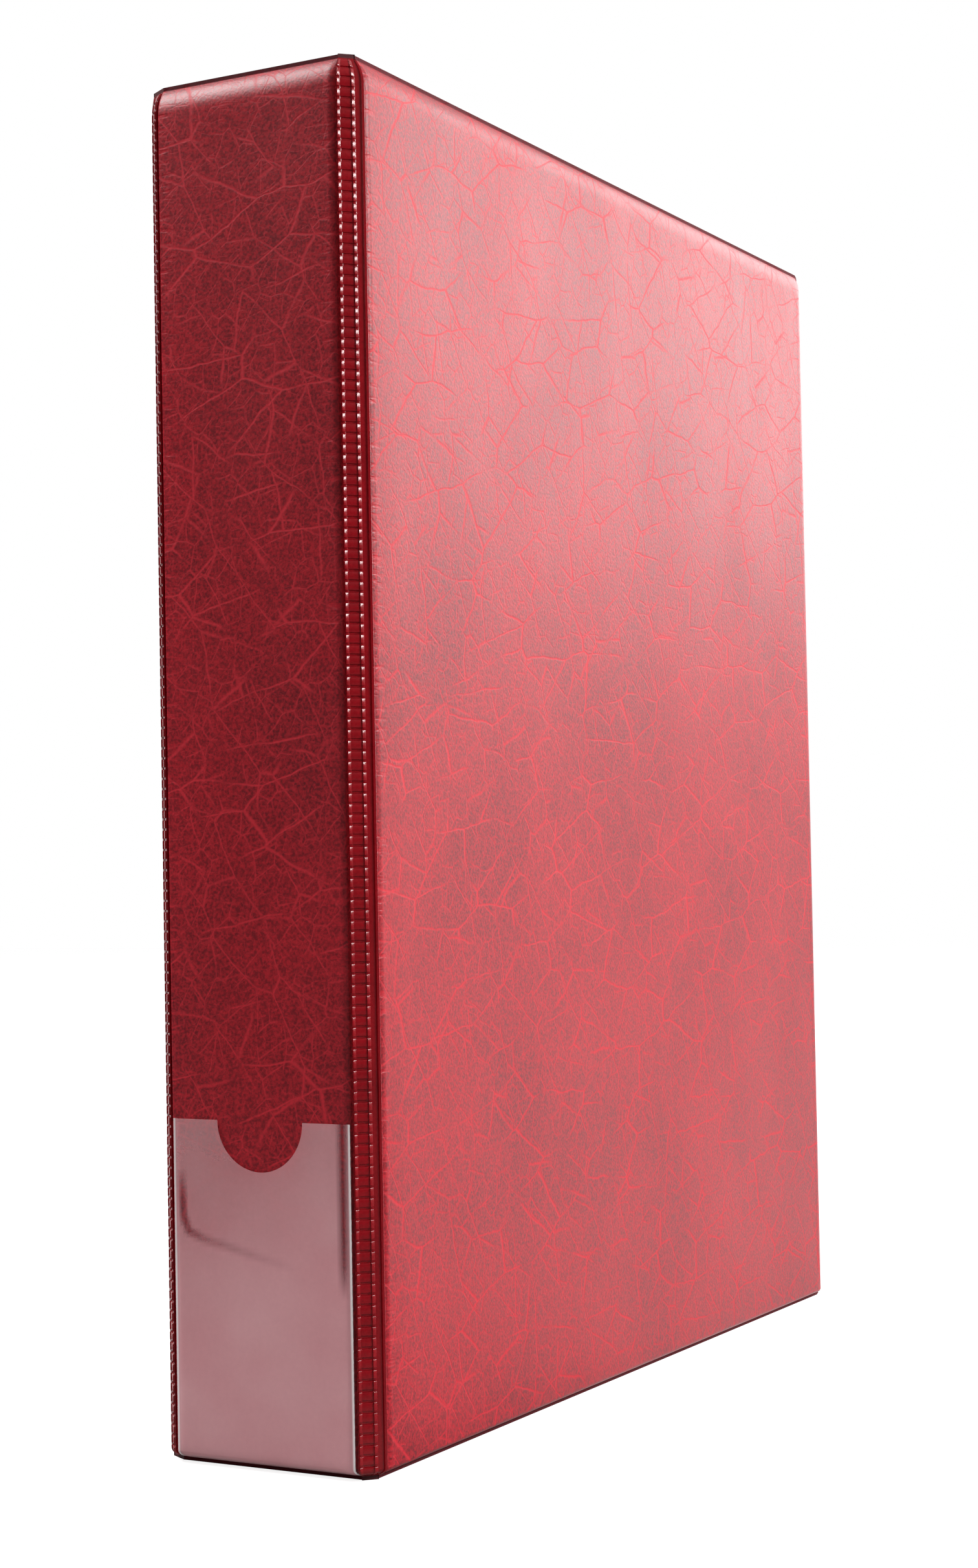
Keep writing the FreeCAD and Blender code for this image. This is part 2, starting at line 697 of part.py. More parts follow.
def leaf(number):
    """Stock leaf: punched margin on the posts, cloth tape at the score, card and its clear strips."""
    post_y = f"({ring_y} + post_offset)"
    inner_edge = f"({post_y} - hole_margin)"
    score = f"({inner_edge} + margin_width)"
    outer_edge = f"({inner_edge} + leaf_width)"
    low, high = "((album_height - leaf_height) / 2)", "((album_height + leaf_height) / 2)"
    back = f"({back_inner} + leaf_first + {number - 1} * leaf_pitch - card_thickness / 2)"
    top_leaf = f"(leaf_first + {LEAVES - 1} * leaf_pitch + card_thickness / 2)"
    swing = f"(({top_leaf} - pivot_height) * sin(ring_travel)"
    swing += " + (pivot_offset - post_offset) * (1 - cos(ring_travel)))"
    radius = "(wire_diameter / 2 + slot_clearance)"
    name = f"leaf_{number}"

    margin = new_body(f"{name}_margin", (back, "0", "0"))
    shape = sketch(margin, f"{name}_margin_outline", "YZ_Plane")
    rectangle(shape, inner_edge, low, f"{score} - score_gap / 2", high)
    far = f"({post_y} + {swing})"
    clip = f"({radius} * (sqrt(2) - 1))"
    for level in ring_levels:
        outline(shape, [
            (f"{post_y} - {clip}", f"{level} - {radius}"),
            (f"{far} + {clip}", f"{level} - {radius}"),
            (f"{far} + {radius}", f"{level} - {clip}"),
            (f"{far} + {radius}", f"{level} + {clip}"),
            (f"{far} + {clip}", f"{level} + {radius}"),
            (f"{post_y} - {clip}", f"{level} + {radius}"),
            (f"{post_y} - {radius}", f"{level} + {clip}"),
            (f"{post_y} - {radius}", f"{level} - {clip}"),
        ])
    pad(margin, shape, "card_thickness")
    keep(f"{name}_margin", margin)

    card = new_body(f"{name}_card", (back, "0", "0"))
    shape = sketch(card, f"{name}_card_outline", "YZ_Plane")
    rectangle(shape, f"{score} + score_gap / 2", low, outer_edge, high)
    card_pad = pad(card, shape, "card_thickness")
    edge_y = value(outer_edge)
    round_edges(card, card_pad, "leaf_corner",
                lambda edge, middle: edge.BoundBox.XLength > TINY and abs(middle.y - edge_y) < TINY)
    keep(f"{name}_card", card)

    tape = box(f"{name}_tape", (f"{back} - tape_thickness", f"{score} - tape_width / 2", low),
               "tape_thickness", "tape_width", "leaf_height")
    keep(f"{name}_tape", tape)

    strips = []
    window_width = f"{outer_edge} - window_edge - {score} - window_start"
    for row in range(WINDOWS):
        foot = f"{low} + window_foot + {row} * window_pitch"
        for face, spot in (("front", f"{back} + card_thickness"), ("back", f"{back} - window_thickness")):
            strips.append(box(f"{name}_{face}_window_{row + 1}", (spot, f"{score} + window_start", foot),
                              "window_thickness", window_width, "window_height"))
    keep(f"{name}_pockets", compound(f"{name}_windows", strips))


rivet_holes = [
    cylinder(f"{end}_cover_hole", (f"{back_face} - cut_margin", ring_y, level), X_AXIS,
             "rivet_shank / 2 + rivet_clearance", f"{panel} + 2 * cut_margin")
    for end, level in rivet_levels.items()
]
welded_panel("front", "front_cover", FRONT, [])
welded_panel("back", "back_cover", BACK, rivet_holes)
welded_panel("spine", "spine", SPINE, [])
hinge_strip("front_hinge_strip", (spine_right, spine_face), FreeCAD.Rotation(Z_AXIS, 45), "-", "")
hinge_strip("back_hinge_strip", (spine_left, spine_face), FreeCAD.Rotation(Z_AXIS, 135), "", "-")
label_pocket()
ring_plate()
ring_posts, ring_arcs = rings()
blade("post_blade", 1, ring_posts)
blade("arc_blade", -1, ring_arcs)
for rivet_end, rivet_level in rivet_levels.items():
    rivet(rivet_end, rivet_level)
lever("upper", pin_levels["upper"], FreeCAD.Rotation(Z_AXIS, X_AXIS, Y_AXIS, "XYZ"))
lever("lower", pin_levels["lower"], FreeCAD.Rotation(-Z_AXIS, X_AXIS, -Y_AXIS, "XYZ"))
for leaf_number in range(1, LEAVES + 1):
    leaf(leaf_number)

doc.recompute()
failed = [item.Name for item in doc.Objects if {"Invalid", "Error"} & set(item.State)]
failed += [name for name, item in nodes.items() if item.Shape.isNull() or not item.Shape.isValid()]
if failed:
    raise RuntimeError(f"These did not build: {failed}")

os.makedirs("parts", exist_ok=True)
for name, item in nodes.items():
    item.Shape.exportStep(f"parts/{name}.step")
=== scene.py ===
import math

import bmesh
import bpy
from mathutils import Matrix, Vector


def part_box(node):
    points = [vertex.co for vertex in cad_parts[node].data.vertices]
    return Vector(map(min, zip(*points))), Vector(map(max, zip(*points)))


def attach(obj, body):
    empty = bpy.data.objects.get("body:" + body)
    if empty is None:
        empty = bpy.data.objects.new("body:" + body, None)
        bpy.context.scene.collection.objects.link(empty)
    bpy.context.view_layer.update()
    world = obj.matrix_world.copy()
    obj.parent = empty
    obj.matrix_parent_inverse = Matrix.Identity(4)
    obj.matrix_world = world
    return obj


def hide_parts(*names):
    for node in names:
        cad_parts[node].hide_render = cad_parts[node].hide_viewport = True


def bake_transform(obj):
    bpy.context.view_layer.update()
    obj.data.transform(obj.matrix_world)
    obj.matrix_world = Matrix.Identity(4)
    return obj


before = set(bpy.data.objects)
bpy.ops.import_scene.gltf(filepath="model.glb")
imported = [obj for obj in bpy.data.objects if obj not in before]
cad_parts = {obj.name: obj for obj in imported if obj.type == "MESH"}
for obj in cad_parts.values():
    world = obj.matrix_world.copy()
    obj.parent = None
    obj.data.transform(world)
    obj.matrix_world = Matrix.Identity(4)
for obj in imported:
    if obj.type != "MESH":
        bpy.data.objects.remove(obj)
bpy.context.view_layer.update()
MM = 0.001

# Grey boards: three sheets of pressed waste-paper board, sawn square, that stiffen the two covers and
# the spine. Each lies loose in the welded envelope of its skin and lining.


class Shade:
    """One socket of a material. Sums, differences and products of shades add Math nodes."""

    def __init__(self, tree, socket=None):
        self.tree = tree
        self.socket = socket

    def feed(self, target, term):
        """Link a shade to a socket, or set a plain value on it."""
        if isinstance(term, Shade):
            self.tree.links.new(term.socket, target)
        else:
            target.default_value = term

    def node(self, kind, settings, values, output=0):
        """Add a node: its settings first, then the values or links of its sockets."""
        item = self.tree.nodes.new(kind)
        for name, setting in settings.items():
            setattr(item, name, setting)
        for name, term in values.items():
            self.feed(item.inputs[name], term)
        return Shade(self.tree, item.outputs[output])

    def math(self, operation, first, second):
        return self.node("ShaderNodeMath", {"operation": operation}, {0: first, 1: second})

    def __add__(self, other):
        return self.math("ADD", self, other)

    def __sub__(self, other):
        return self.math("SUBTRACT", self, other)

    def __rsub__(self, other):
        return self.math("SUBTRACT", other, self)

    def __mul__(self, other):
        return self.math("MULTIPLY", self, other)

    __radd__ = __add__
    __rmul__ = __mul__

    def most(self, other):
        return self.math("MAXIMUM", self, other)

    def least(self, other):
        return self.math("MINIMUM", self, other)

    def outputs(self, *names):
        """Other outputs of the node that this shade comes from."""
        return [Shade(self.tree, self.socket.node.outputs[name]) for name in names]

    def axes(self, letters):
        """The places along some of the axes, from a shade that holds a place."""
        return self.node("ShaderNodeSeparateXYZ", {}, {"Vector": self}).outputs(*letters)

    def ramp(self, low, high):
        """0 where this shade is at low or before it, 1 at high or past it, smooth between."""
        settings = {"interpolation_type": "SMOOTHSTEP"}
        return self.node("ShaderNodeMapRange", settings, {"Value": self, "From Min": low, "From Max": high})

    def tint(self, low, high):
        """A colour that goes from low to high with this shade."""
        settings = {"data_type": "RGBA", "clamp_factor": True}
        low, high = (end if isinstance(end, Shade) else (*end, 1) for end in (low, high))
        # A Mix node takes its two colours at 6 and 7 and gives the mixed colour at 2
        return self.node("ShaderNodeMix", settings, {0: self, 6: low, 7: high}, output=2)

    def noise(self, scale, detail=2, roughness=0.5):
        """Cloudy noise over the place that this shade holds, around a half."""
        values = {"Vector": self, "Scale": scale, "Detail": detail, "Roughness": roughness}
        return self.node("ShaderNodeTexNoise", {}, values)

    def stretched(self, stretch):
        """This place, drawn out by a factor along each axis."""
        return self.node("ShaderNodeMapping", {}, {"Vector": self, "Scale": stretch})

    def bump(self, height, distance, strength=1.0):
        """Normal of a surface raised by a shade times a distance."""
        values = {"Height": height, "Distance": distance, "Strength": strength}
        return self.node("ShaderNodeBump", {}, values)


def finish(name, constants):
    """A material with its constant values set. Gives it, its shader's sockets and the place on the piece."""
    material = bpy.data.materials.new(name)
    material.use_nodes = True
    surface = material.node_tree.nodes["Principled BSDF"]
    for socket, constant in constants.items():
        surface.inputs[socket].default_value = constant
    place = Shade(material.node_tree).node("ShaderNodeTexCoord", {}, {}, output="Object")
    return material, surface.inputs, place


def paint(piece, material):
    """Give every face of a piece one material."""
    piece.data.materials.clear()
    piece.data.materials.append(material)


grey_board, sockets, place = finish("grey_board", {"Specular IOR Level": 0.2})
fibres = place.stretched((1, 1, 4)).noise(900, 4, 0.7)
flecks = place.noise(2600, 2).ramp(0.62, 0.72)
pulp = (fibres * 0.8 + flecks * 0.5).tint((0.21, 0.2, 0.185), (0.33, 0.31, 0.28))
place.feed(sockets["Base Color"], pulp)
place.feed(sockets["Roughness"], 0.85 + fibres * 0.1)
place.feed(sockets["Normal"], place.bump(fibres, 0.15 * MM))
for node in ("front_board", "spine_board", "back_board"):
    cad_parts[node].data.materials[0] = grey_board


# Linings: thin burgundy vinyl with a fine cloth grain, the inner half of each welded envelope. The weld
# bar has pressed a narrow sunk border round each sheet.


def pick(kind, wanted):
    """In edit mode, select only the VERT, EDGE or FACE items whose middle passes a test."""
    bpy.ops.mesh.select_mode(type=kind)
    bpy.ops.mesh.select_all(action="DESELECT")
    mesh = bmesh.from_edit_mesh(bpy.context.object.data)
    items = {"VERT": mesh.verts, "EDGE": mesh.edges, "FACE": mesh.faces}[kind]
    for item in items:
        corners = [item] if kind == "VERT" else item.verts
        middle = sum((corner.co for corner in corners), Vector()) / len(corners)
        item.select_set(wanted(middle, item))
    mesh.select_flush_mode()
    bmesh.update_edit_mesh(bpy.context.object.data)


def near(one, other):
    """Whether two places along an axis are the same, to 2 thousandths of a millimetre."""
    return abs(one - other) < 0.002 * MM


def leave_edit_mode():
    """Go back to object mode where a piece is still in edit mode."""
    if bpy.context.mode != "OBJECT":
        bpy.ops.object.mode_set(mode="OBJECT")


def flat_sheet(name, left, right, low, high):
    """A new piece in edit mode: one face that lies flat, facing up, with its sides at these places."""
    leave_edit_mode()
    bpy.ops.object.select_all(action="DESELECT")
    bpy.ops.mesh.primitive_plane_add(size=1)
    bpy.context.object.name = name
    bpy.ops.object.mode_set(mode="EDIT")
    bpy.ops.transform.resize(value=(right - left, high - low, 1))
    bpy.ops.transform.translate(value=((left + right) / 2, (low + high) / 2, 0))
    return bpy.context.object


def slices(axis, spots):
    """Cut all of a piece across at each of these places along an axis."""
    for spot in spots:
        bpy.ops.mesh.select_all(action="SELECT")
        bpy.ops.mesh.bisect(plane_co=Vector(axis) * spot, plane_no=axis)


def modify(piece, kind, **settings):
    """Add a modifier to a piece and apply it."""
    leave_edit_mode()
    bpy.context.view_layer.objects.active = piece
    modifier = piece.modifiers.new(kind.lower(), kind)
    for name, setting in settings.items():
        setattr(modifier, name, setting)
    bpy.ops.object.modifier_apply(modifier=modifier.name)


def put(piece, placing, smooth_angle=35):
    """Set a piece in its place for good and smooth it."""
    leave_edit_mode()
    bpy.ops.object.select_all(action="DESELECT")
    piece.select_set(True)
    bpy.context.view_layer.objects.active = piece
    piece.matrix_world = placing
    bpy.ops.object.transform_apply(location=True, rotation=True, scale=True)
    bpy.ops.object.shade_smooth_by_angle(angle=math.radians(smooth_angle))
    return piece


def facing(across, up, outwards, spot):
    """A placing: which ways the axes of a piece made lying flat point, and from which spot."""
    placing = Matrix((across, up, outwards)).transposed().to_4x4()
    placing.translation = spot
    return placing


def stand_for(piece, body, slot, *nodes):
    """Let a finished piece move with a body and stand for CAD nodes."""
    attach(piece, body)
    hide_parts(*nodes)


lining_vinyl, sockets, place = finish("lining_vinyl", {"Specular IOR Level": 0.35})
weave = place.node("ShaderNodeTexVoronoi", {"feature": "F1"}, {"Vector": place, "Scale": 1500})
clouds = place.noise(60, 3)
burgundy = (clouds * 0.7 + weave * 0.4).tint((0.1, 0.006, 0.013), (0.17, 0.012, 0.022))
place.feed(sockets["Base Color"], burgundy)
place.feed(sockets["Roughness"], 0.48 + clouds * 0.16)
place.feed(sockets["Normal"], place.bump(weave + clouds * 0.3, 0.12 * MM))

weld_border = 1.7 * MM
weld_depth = 0.14 * MM
front_low, front_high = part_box("front_cover_lining")
back_low, back_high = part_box("back_cover_lining")
spine_low, spine_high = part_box("spine_lining")
album_height = front_high.z
lining_thickness = front_high.x - front_low.x
# A panel is made lying flat: across, up the album, and outwards from the lining's inner face. Its two
# sides are rolled over by so much where they meet a hinge.
panels = {
    "front_cover": {
        "place": facing((0, 1, 0), (0, 0, 1), (1, 0, 0), (front_low.x, 0, 0)),
        "sides": (front_low.y, front_high.y),
        "hinges": (2 * MM, 0),
    },
    "spine": {
        "place": facing((1, 0, 0), (0, 0, 1), (0, -1, 0), (0, spine_high.y, 0)),
        "sides": (spine_low.x, spine_high.x),
        "hinges": (0.7 * MM, 2 * MM),
    },
    "back_cover": {
        "place": facing((0, -1, 0), (0, 0, 1), (-1, 0, 0), (back_high.x, 0, 0)),
        "sides": (-back_high.y, -back_low.y),
        "hinges": (0, 0.6 * MM),
    },
}
for body, panel in panels.items():
    left, right = panel["sides"]
    lining = flat_sheet(f"{body}_inner_vinyl", left, right, 0, album_height)
    bpy.ops.mesh.inset(thickness=weld_border, depth=0)
    bpy.ops.mesh.inset(thickness=weld_depth * 2, depth=0)
    pick("VERT", lambda middle, item: weld_border + weld_depth > min(
        middle.x - left, right - middle.x, middle.y, album_height - middle.y))
    bpy.ops.transform.translate(value=(0, 0, weld_depth))
    bpy.ops.mesh.select_all(action="SELECT")
    bpy.ops.mesh.flip_normals()
    modify(lining, "SOLIDIFY", thickness=lining_thickness - weld_depth, offset=-1)
    put(lining, panel["place"])
    paint(lining, lining_vinyl)
    stand_for(lining, body, "lining_vinyl", f"{body}_lining")


# Skins: the outer leatherette, vinyl embossed with creased hide and wiped darker on its high spots. It is
# stretched over the board, slopes down to a thin welded flange and rolls tightly over at each hinge.


def leatherette_finish():
    """Dark speckled burgundy plateaus in a dense net of fine brighter red creases."""
    material, sockets, place = finish("leatherette", {"Specular IOR Level": 0.45})
    x, y, z = place.axes("XYZ")
    # The pattern runs on round the album: along the covers and the spine, and up
    flat = place.node("ShaderNodeCombineXYZ", {}, {"X": x + y, "Y": z})
    drift = place.node("ShaderNodeTexNoise", {}, {"Vector": flat, "Scale": 110, "Detail": 2}, output="Color")
    shift = place.node("ShaderNodeVectorMath", {"operation": "SCALE"}, {0: drift, "Scale": 0.0025})
    bent = place.node("ShaderNodeVectorMath", {"operation": "ADD"}, {0: flat, 1: shift})

    def creases(scale, width, fade_scale, turn, stretch):
        """A net of lines, drawn out along a slant, that fade in and out along their way."""
        turned = place.node("ShaderNodeMapping", {"vector_type": "TEXTURE"}, {
            "Vector": bent, "Rotation": (0, 0, math.radians(turn)), "Scale": (stretch, 1, 1)})
        settings = {"feature": "DISTANCE_TO_EDGE", "voronoi_dimensions": "2D"}
        edge = place.node("ShaderNodeTexVoronoi", settings, {"Vector": turned, "Scale": scale})
        return (1 - edge.ramp(0, width)) * flat.noise(fade_scale, 1).ramp(0.36, 0.56)

    long_lines = creases(105, 0.036, 60, 14, 2.1)
    cross_lines = creases(115, 0.034, 80, -56, 2.2)
    short_lines = creases(225, 0.055, 130, 62, 1.5)
    hair_lines = creases(520, 0.09, 260, 20, 1.2)
    crease = long_lines.most(cross_lines * 0.9).most(short_lines * 0.7).most(hair_lines * 0.4)
    # Short wrinkles run into each hinge. A painted shadow darkens the spine beside the front hinge's roll,
    # and the welded flange is darker, partly the pressed vinyl's own colour and partly painted shade under
    # the crown
    hinge_gap = (spine_high.x - x).least(x - spine_low.x).most(y - front_low.y)
    near_hinge = 1 - hinge_gap.ramp(0.5 * MM, 6 * MM)
    wrinkles = flat.stretched((1, 5, 1)).noise(150, 2).ramp(0.5, 0.7) * near_hinge
    on_spine = 1 - y.ramp(front_low.y - 0.5 * MM, front_low.y - 0.1 * MM)
    # Painted shadow: the spine's vinyl is painted darker towards its edge at the front hinge, where its roll
    # lies in shade
    painted_hinge_shadow = x.ramp(spine_high.x - 3 * MM, spine_high.x - 0.2 * MM) * on_spine
    flange = 1 - z.least(album_height - z).least(front_high.y - y).ramp(*flange_edge)
    pebble = place.node("ShaderNodeTexVoronoi", {"feature": "F1"}, {"Vector": place, "Scale": 1500})
    clouds = place.noise(30, 3)
    streaks = place.stretched((1, 1, 0.3)).noise(55, 3)
    speckle = place.noise(1900, 2, 0.6)
    plateau = (speckle.ramp(0.3, 0.7) * 0.75 + clouds.ramp(0.25, 0.75) * 0.25).tint(
        (0.15, 0.005, 0.011), (0.5, 0.009, 0.02))
    hide = (crease.most(wrinkles * 0.7) * 0.7).tint(plateau, (0.7, 0.011, 0.028))
    dark = (flange * 0.92).most(painted_hinge_shadow * 0.15)
    place.feed(sockets["Base Color"], dark.tint(hide, flange_red_and_shade))
    place.feed(sockets["Roughness"], 0.4 + crease * 0.14 + speckle * 0.12 - streaks * 0.08 + flange * 0.45)
    relief = pebble * 0.2 + speckle * 0.15 + clouds * 0.5 - crease * 0.22 - wrinkles * 0.5
    place.feed(sockets["Normal"], place.bump(relief, 0.12 * MM, 0.8))
    return material


def face_outwards(merged=False):
    """In edit mode, turn all faces of a piece outwards, with its doubles merged first where it has any."""
    bpy.ops.mesh.select_all(action="SELECT")
    if merged:
        bpy.ops.mesh.remove_doubles(threshold=0.001 * MM)
    bpy.ops.mesh.normals_make_consistent(inside=False)


def pick_side(edge_x):
    """In edit mode, select only the edges that lie at one place across."""
    pick("EDGE", lambda middle, item: all(near(corner.co.x, edge_x) for corner in item.verts))


def pull_edges(*way):
    """In edit mode, extrude the selected edges this way."""
    bpy.ops.mesh.extrude_edges_move(TRANSFORM_OT_translate={"value": way})


def block(left, right, low, high, bottom, top):
    """A new box in edit mode, all selected, with its sides at these places."""
    leave_edit_mode()
    bpy.ops.object.select_all(action="DESELECT")
    bpy.ops.mesh.primitive_cube_add(size=1)
    bpy.ops.object.mode_set(mode="EDIT")
    bpy.ops.transform.resize(value=(right - left, high - low, top - bottom))
    bpy.ops.transform.translate(value=((left + right) / 2, (low + high) / 2, (bottom + top) / 2))
    return bpy.context.object


def join(name, parts):
    """Make one piece of several objects."""
    leave_edit_mode()
    bpy.ops.object.select_all(action="DESELECT")
    for part in parts:
        part.select_set(True)
    bpy.context.view_layer.objects.active = parts[0]
    if len(parts) > 1:
        bpy.ops.object.join()
    parts[0].name = name
    return parts[0]


# The dark red of the welded flanges: partly the pressed vinyl's own colour, partly painted shade under the
# crowns above them
flange_red_and_shade = (0.07, 0.001, 0.005)
flange_edge = (0.6 * MM, 1.0 * MM)
leatherette = leatherette_finish()
skin_thickness = 0.5 * MM
flange_width = 0.8 * MM
slope_width = 5.4 * MM
slope_steps = 7
foot_share = 0.3
roll_drop = 0.75
web_thickness = 0.12 * MM
web_gap = 0.02 * MM
roll_steps = 5
ridge_round = 1.1 * MM
# How far a selection reaches past the edge that it is meant for
hair = 0.1 * MM
slack = 0.22 * MM
skin_top = 3.4 * MM
weld_top = lining_thickness + skin_thickness
rise = skin_top - weld_top
slope_radius = (slope_width ** 2 + rise ** 2) / (2 * rise)
# Ripples that the stretched vinyl keeps over the board, clear of its sides and ends
slice_pitch = 9 * MM
slice_margins = (3 * MM, 7 * MM)
smooth_sides = 2.5 * MM
smooth_ends = 7 * MM
ripple = bpy.data.textures.new("vinyl_ripple", "CLOUDS")
ripple.noise_scale = 0.075
ripple.noise_depth = 1
for body, panel in panels.items():
    sides = panel["sides"]
    # Of each side: how wide it rolls over at a hinge, its place and the way inwards from it
    borders = list(zip(panel["hinges"], sides, (1, -1)))
    hinged = [border for border in borders if border[0]]
    # The sheet starts wide at a hinge, so that the slope made there can be cut off again.
    spare = flange_width + slope_width
    outer = [side - inward * spare * (roll > 0) for roll, side, inward in borders]
    skin = flat_sheet(f"{body}_leatherette", outer[0], outer[1], 0, album_height)
    bpy.ops.transform.translate(value=(0, 0, weld_top))
    bpy.ops.mesh.inset(thickness=flange_width, depth=0)
    turn = math.asin(slope_width / slope_radius)
    for step in range(slope_steps):
        before, after = (turn * (1 - spot / slope_steps) for spot in (step, step + 1))
        bpy.ops.mesh.inset(
            thickness=slope_radius * (math.sin(before) - math.sin(after)),
            depth=slope_radius * (math.cos(after) - math.cos(before)),
        )
    for roll, side, inward in hinged:
        bpy.ops.mesh.select_all(action="SELECT")
        bpy.ops.mesh.bisect(plane_co=(side + inward * roll, 0, 0), plane_no=(-inward, 0, 0),
                            clear_outer=True)
    # The slanting edges, where two slopes meet, are rounded.
    pick("EDGE", lambda middle, item: all(
        abs((item.verts[0].co - item.verts[1].co)[axis]) > hair / 2 for axis in (0, 1)))
    bpy.ops.mesh.bevel(affect="EDGES", offset=ridge_round, segments=4)
    # The board has slid down in its envelope, so the slope along the foot is short.
    pick("VERT", lambda middle, item: flange_width < middle.y < flange_width + slope_width + hair)
    bpy.ops.transform.resize(value=(1, foot_share, 1), center_override=(0, flange_width, 0))
    slices((0, 1, 0), [spot * slice_pitch for spot in range(1, 30)])
    slices((1, 0, 0), [spot * slice_pitch for spot in range(-12, 13) if
                       sides[0] + slice_margins[0] < spot * slice_pitch < sides[1] - slice_margins[1]])
    leave_edit_mode()
    group = skin.vertex_groups.new(name="flat")
    group.add([vertex.index for vertex in skin.data.vertices if vertex.co.z > skin_top - hair / 10
               and sides[0] + smooth_sides < vertex.co.x < sides[1] - smooth_sides
               and smooth_ends < vertex.co.y < album_height - smooth_ends], 1, "REPLACE")
    modify(skin, "DISPLACE", texture=ripple, direction="Z", strength=-slack, mid_level=0,
           vertex_group="flat")
    bpy.ops.object.mode_set(mode="EDIT")
    for roll, side, inward in hinged:
        edge_x = side + inward * roll
        roll_radius = roll * (1 + roll_drop ** 2) / (2 * roll_drop)
        pick_side(edge_x)
        lowered = 0
        for step in range(roll_steps):
            run = roll * (step + 1) / roll_steps
            sunk = roll_radius - math.sqrt(roll_radius ** 2 - run ** 2)
            pull_edges(-inward * roll / roll_steps, 0, 0)
            bpy.ops.transform.resize(value=(1, 1, (rise - sunk) / (rise - lowered)),
                                     center_override=(0, 0, weld_top))
            lowered = sunk
    face_outwards()
    modify(skin, "SOLIDIFY", thickness=skin_thickness, offset=-1)
    parts = [skin]
    for roll, side, inward in hinged:
        if body == "spine":
            continue
        # A thin web of vinyl stands in the fold beside the hinge line, so the hinge stays shut as it turns.
        ends = sorted((side, side + inward * web_thickness))
        parts.append(block(*ends, flange_width, album_height - flange_width, weld_top, skin_top - web_gap))
        pick("VERT", lambda middle, item: middle.z > weld_top and middle.y < album_height / 2)
        bpy.ops.transform.translate(value=(0, slope_width * foot_share, 0))
        pick("VERT", lambda middle, item: middle.z > weld_top and middle.y > album_height / 2)
        bpy.ops.transform.translate(value=(0, -slope_width, 0))
    skin = join(skin.name, parts)
    put(skin, panel["place"])
    paint(skin, leatherette)
    stand_for(skin, body, "leatherette", f"{body}_skin")


# Hinge strips: where spine and cover meet, a hot die has welded skin to lining and pressed a ladder into
# the vinyl, two beaded rails with rungs between them and a plain groove beside the cover.


def repeat_up(piece, count, pitch):
    """Repeat a piece made lying flat up the album."""
    modify(piece, "ARRAY", count=count, use_relative_offset=False, use_constant_offset=True,
           constant_offset_displace=(0, pitch, 0))


def twin(piece, name):
    """A copy of a piece with its own mesh."""
    copied = piece.copy()
    copied.data = piece.data.copy()
    copied.name = name
    bpy.context.scene.collection.objects.link(copied)
    return copied


weld_vinyl, sockets, place = finish("weld_vinyl", {"Specular IOR Level": 0.5})
clouds = place.noise(90, 3)
speckle = place.noise(1500, 3, 0.6)
[z] = place.axes("Z")
# The welded flange at each end is darker: partly the pressed vinyl's own colour, partly painted shade under
# the crowns
flange = 1 - z.least(album_height - z).ramp(*flange_edge)
pressed = (clouds * 0.6 + speckle * 0.6 - 0.1).tint((0.14, 0.001, 0.004), (0.42, 0.002, 0.009))
place.feed(sockets["Base Color"], flange.tint(pressed, flange_red_and_shade))
place.feed(sockets["Roughness"], 0.2 + speckle * 0.08 + flange * 0.4)
place.feed(sockets["Normal"], place.bump(speckle + clouds * 0.5, 0.04 * MM))

hinge_width = 4 * MM
strip_clearance = 0.04 * MM
strip_width = hinge_width * math.sqrt(2) - strip_clearance
strip_thickness = 0.9 * MM
rail_width = 0.76 * MM
rail_starts = (0.22 * MM, 3.07 * MM)
rail_height = 0.14 * MM
rail_root = 0.05 * MM
rail_round = 0.12 * MM
bead_height = 0.46 * MM
bead_lean = 0.28 * MM
bead_round = 0.09 * MM
rung_pitch = 2 * MM
rung_width = 1.55 * MM
rung_height = 0.24 * MM
rung_round = 0.17 * MM
rung_overlap = rail_width * 0.4
rung_count = 134
groove_depth = 0.3 * MM
groove_rims = (3.87 * MM, 5.2 * MM)
groove_floor = (3.97 * MM, 5.0 * MM)
end_steps = 7
# How far the sunk ends shift across at the spine's side, and how much less at the cover's side
front_shift = 0.6
front_twist = 1.3
back_twist = 0.7
base = block(0, strip_width, 0, album_height, -strip_thickness, 0)
pick("FACE", lambda middle, item: item.normal.z < -0.9)
bpy.ops.transform.resize(value=(1 - 2 * strip_thickness / strip_width, 1, 1),
                         center_override=(strip_width / 2, 0, 0))
slices((1, 0, 0), sorted(groove_rims + groove_floor))
pick("VERT", lambda middle, item: middle.z > -hair and any(near(middle.x, spot) for spot in groove_floor))
bpy.ops.transform.translate(value=(0, 0, -groove_depth))
parts = [base]
for start in rail_starts:
    rail = block(start, start + rail_width, flange_width, album_height - flange_width,
                 -rail_root, rail_height)
    pick("EDGE", lambda middle, item: (
        near(middle.z, rail_height) and not near(middle.x, start + rail_width / 2)))
    bpy.ops.mesh.bevel(affect="EDGES", offset=rail_round, segments=2)
    parts.append(rail)
rung_low = (album_height - (rung_count - 1) * rung_pitch - rung_width) / 2
rung_middle = (rail_starts[0] + rail_starts[1] + rail_width) / 2
rung = block(rail_starts[0] + rail_width - rung_overlap, rail_starts[1] + rung_overlap,
             rung_low, rung_low + rung_width, -rail_root, rung_height)
pick("EDGE", lambda middle, item: near(middle.z, rung_height) and near(middle.x, rung_middle))
bpy.ops.mesh.bevel(affect="EDGES", offset=rung_round, segments=2)
cell = [rung]
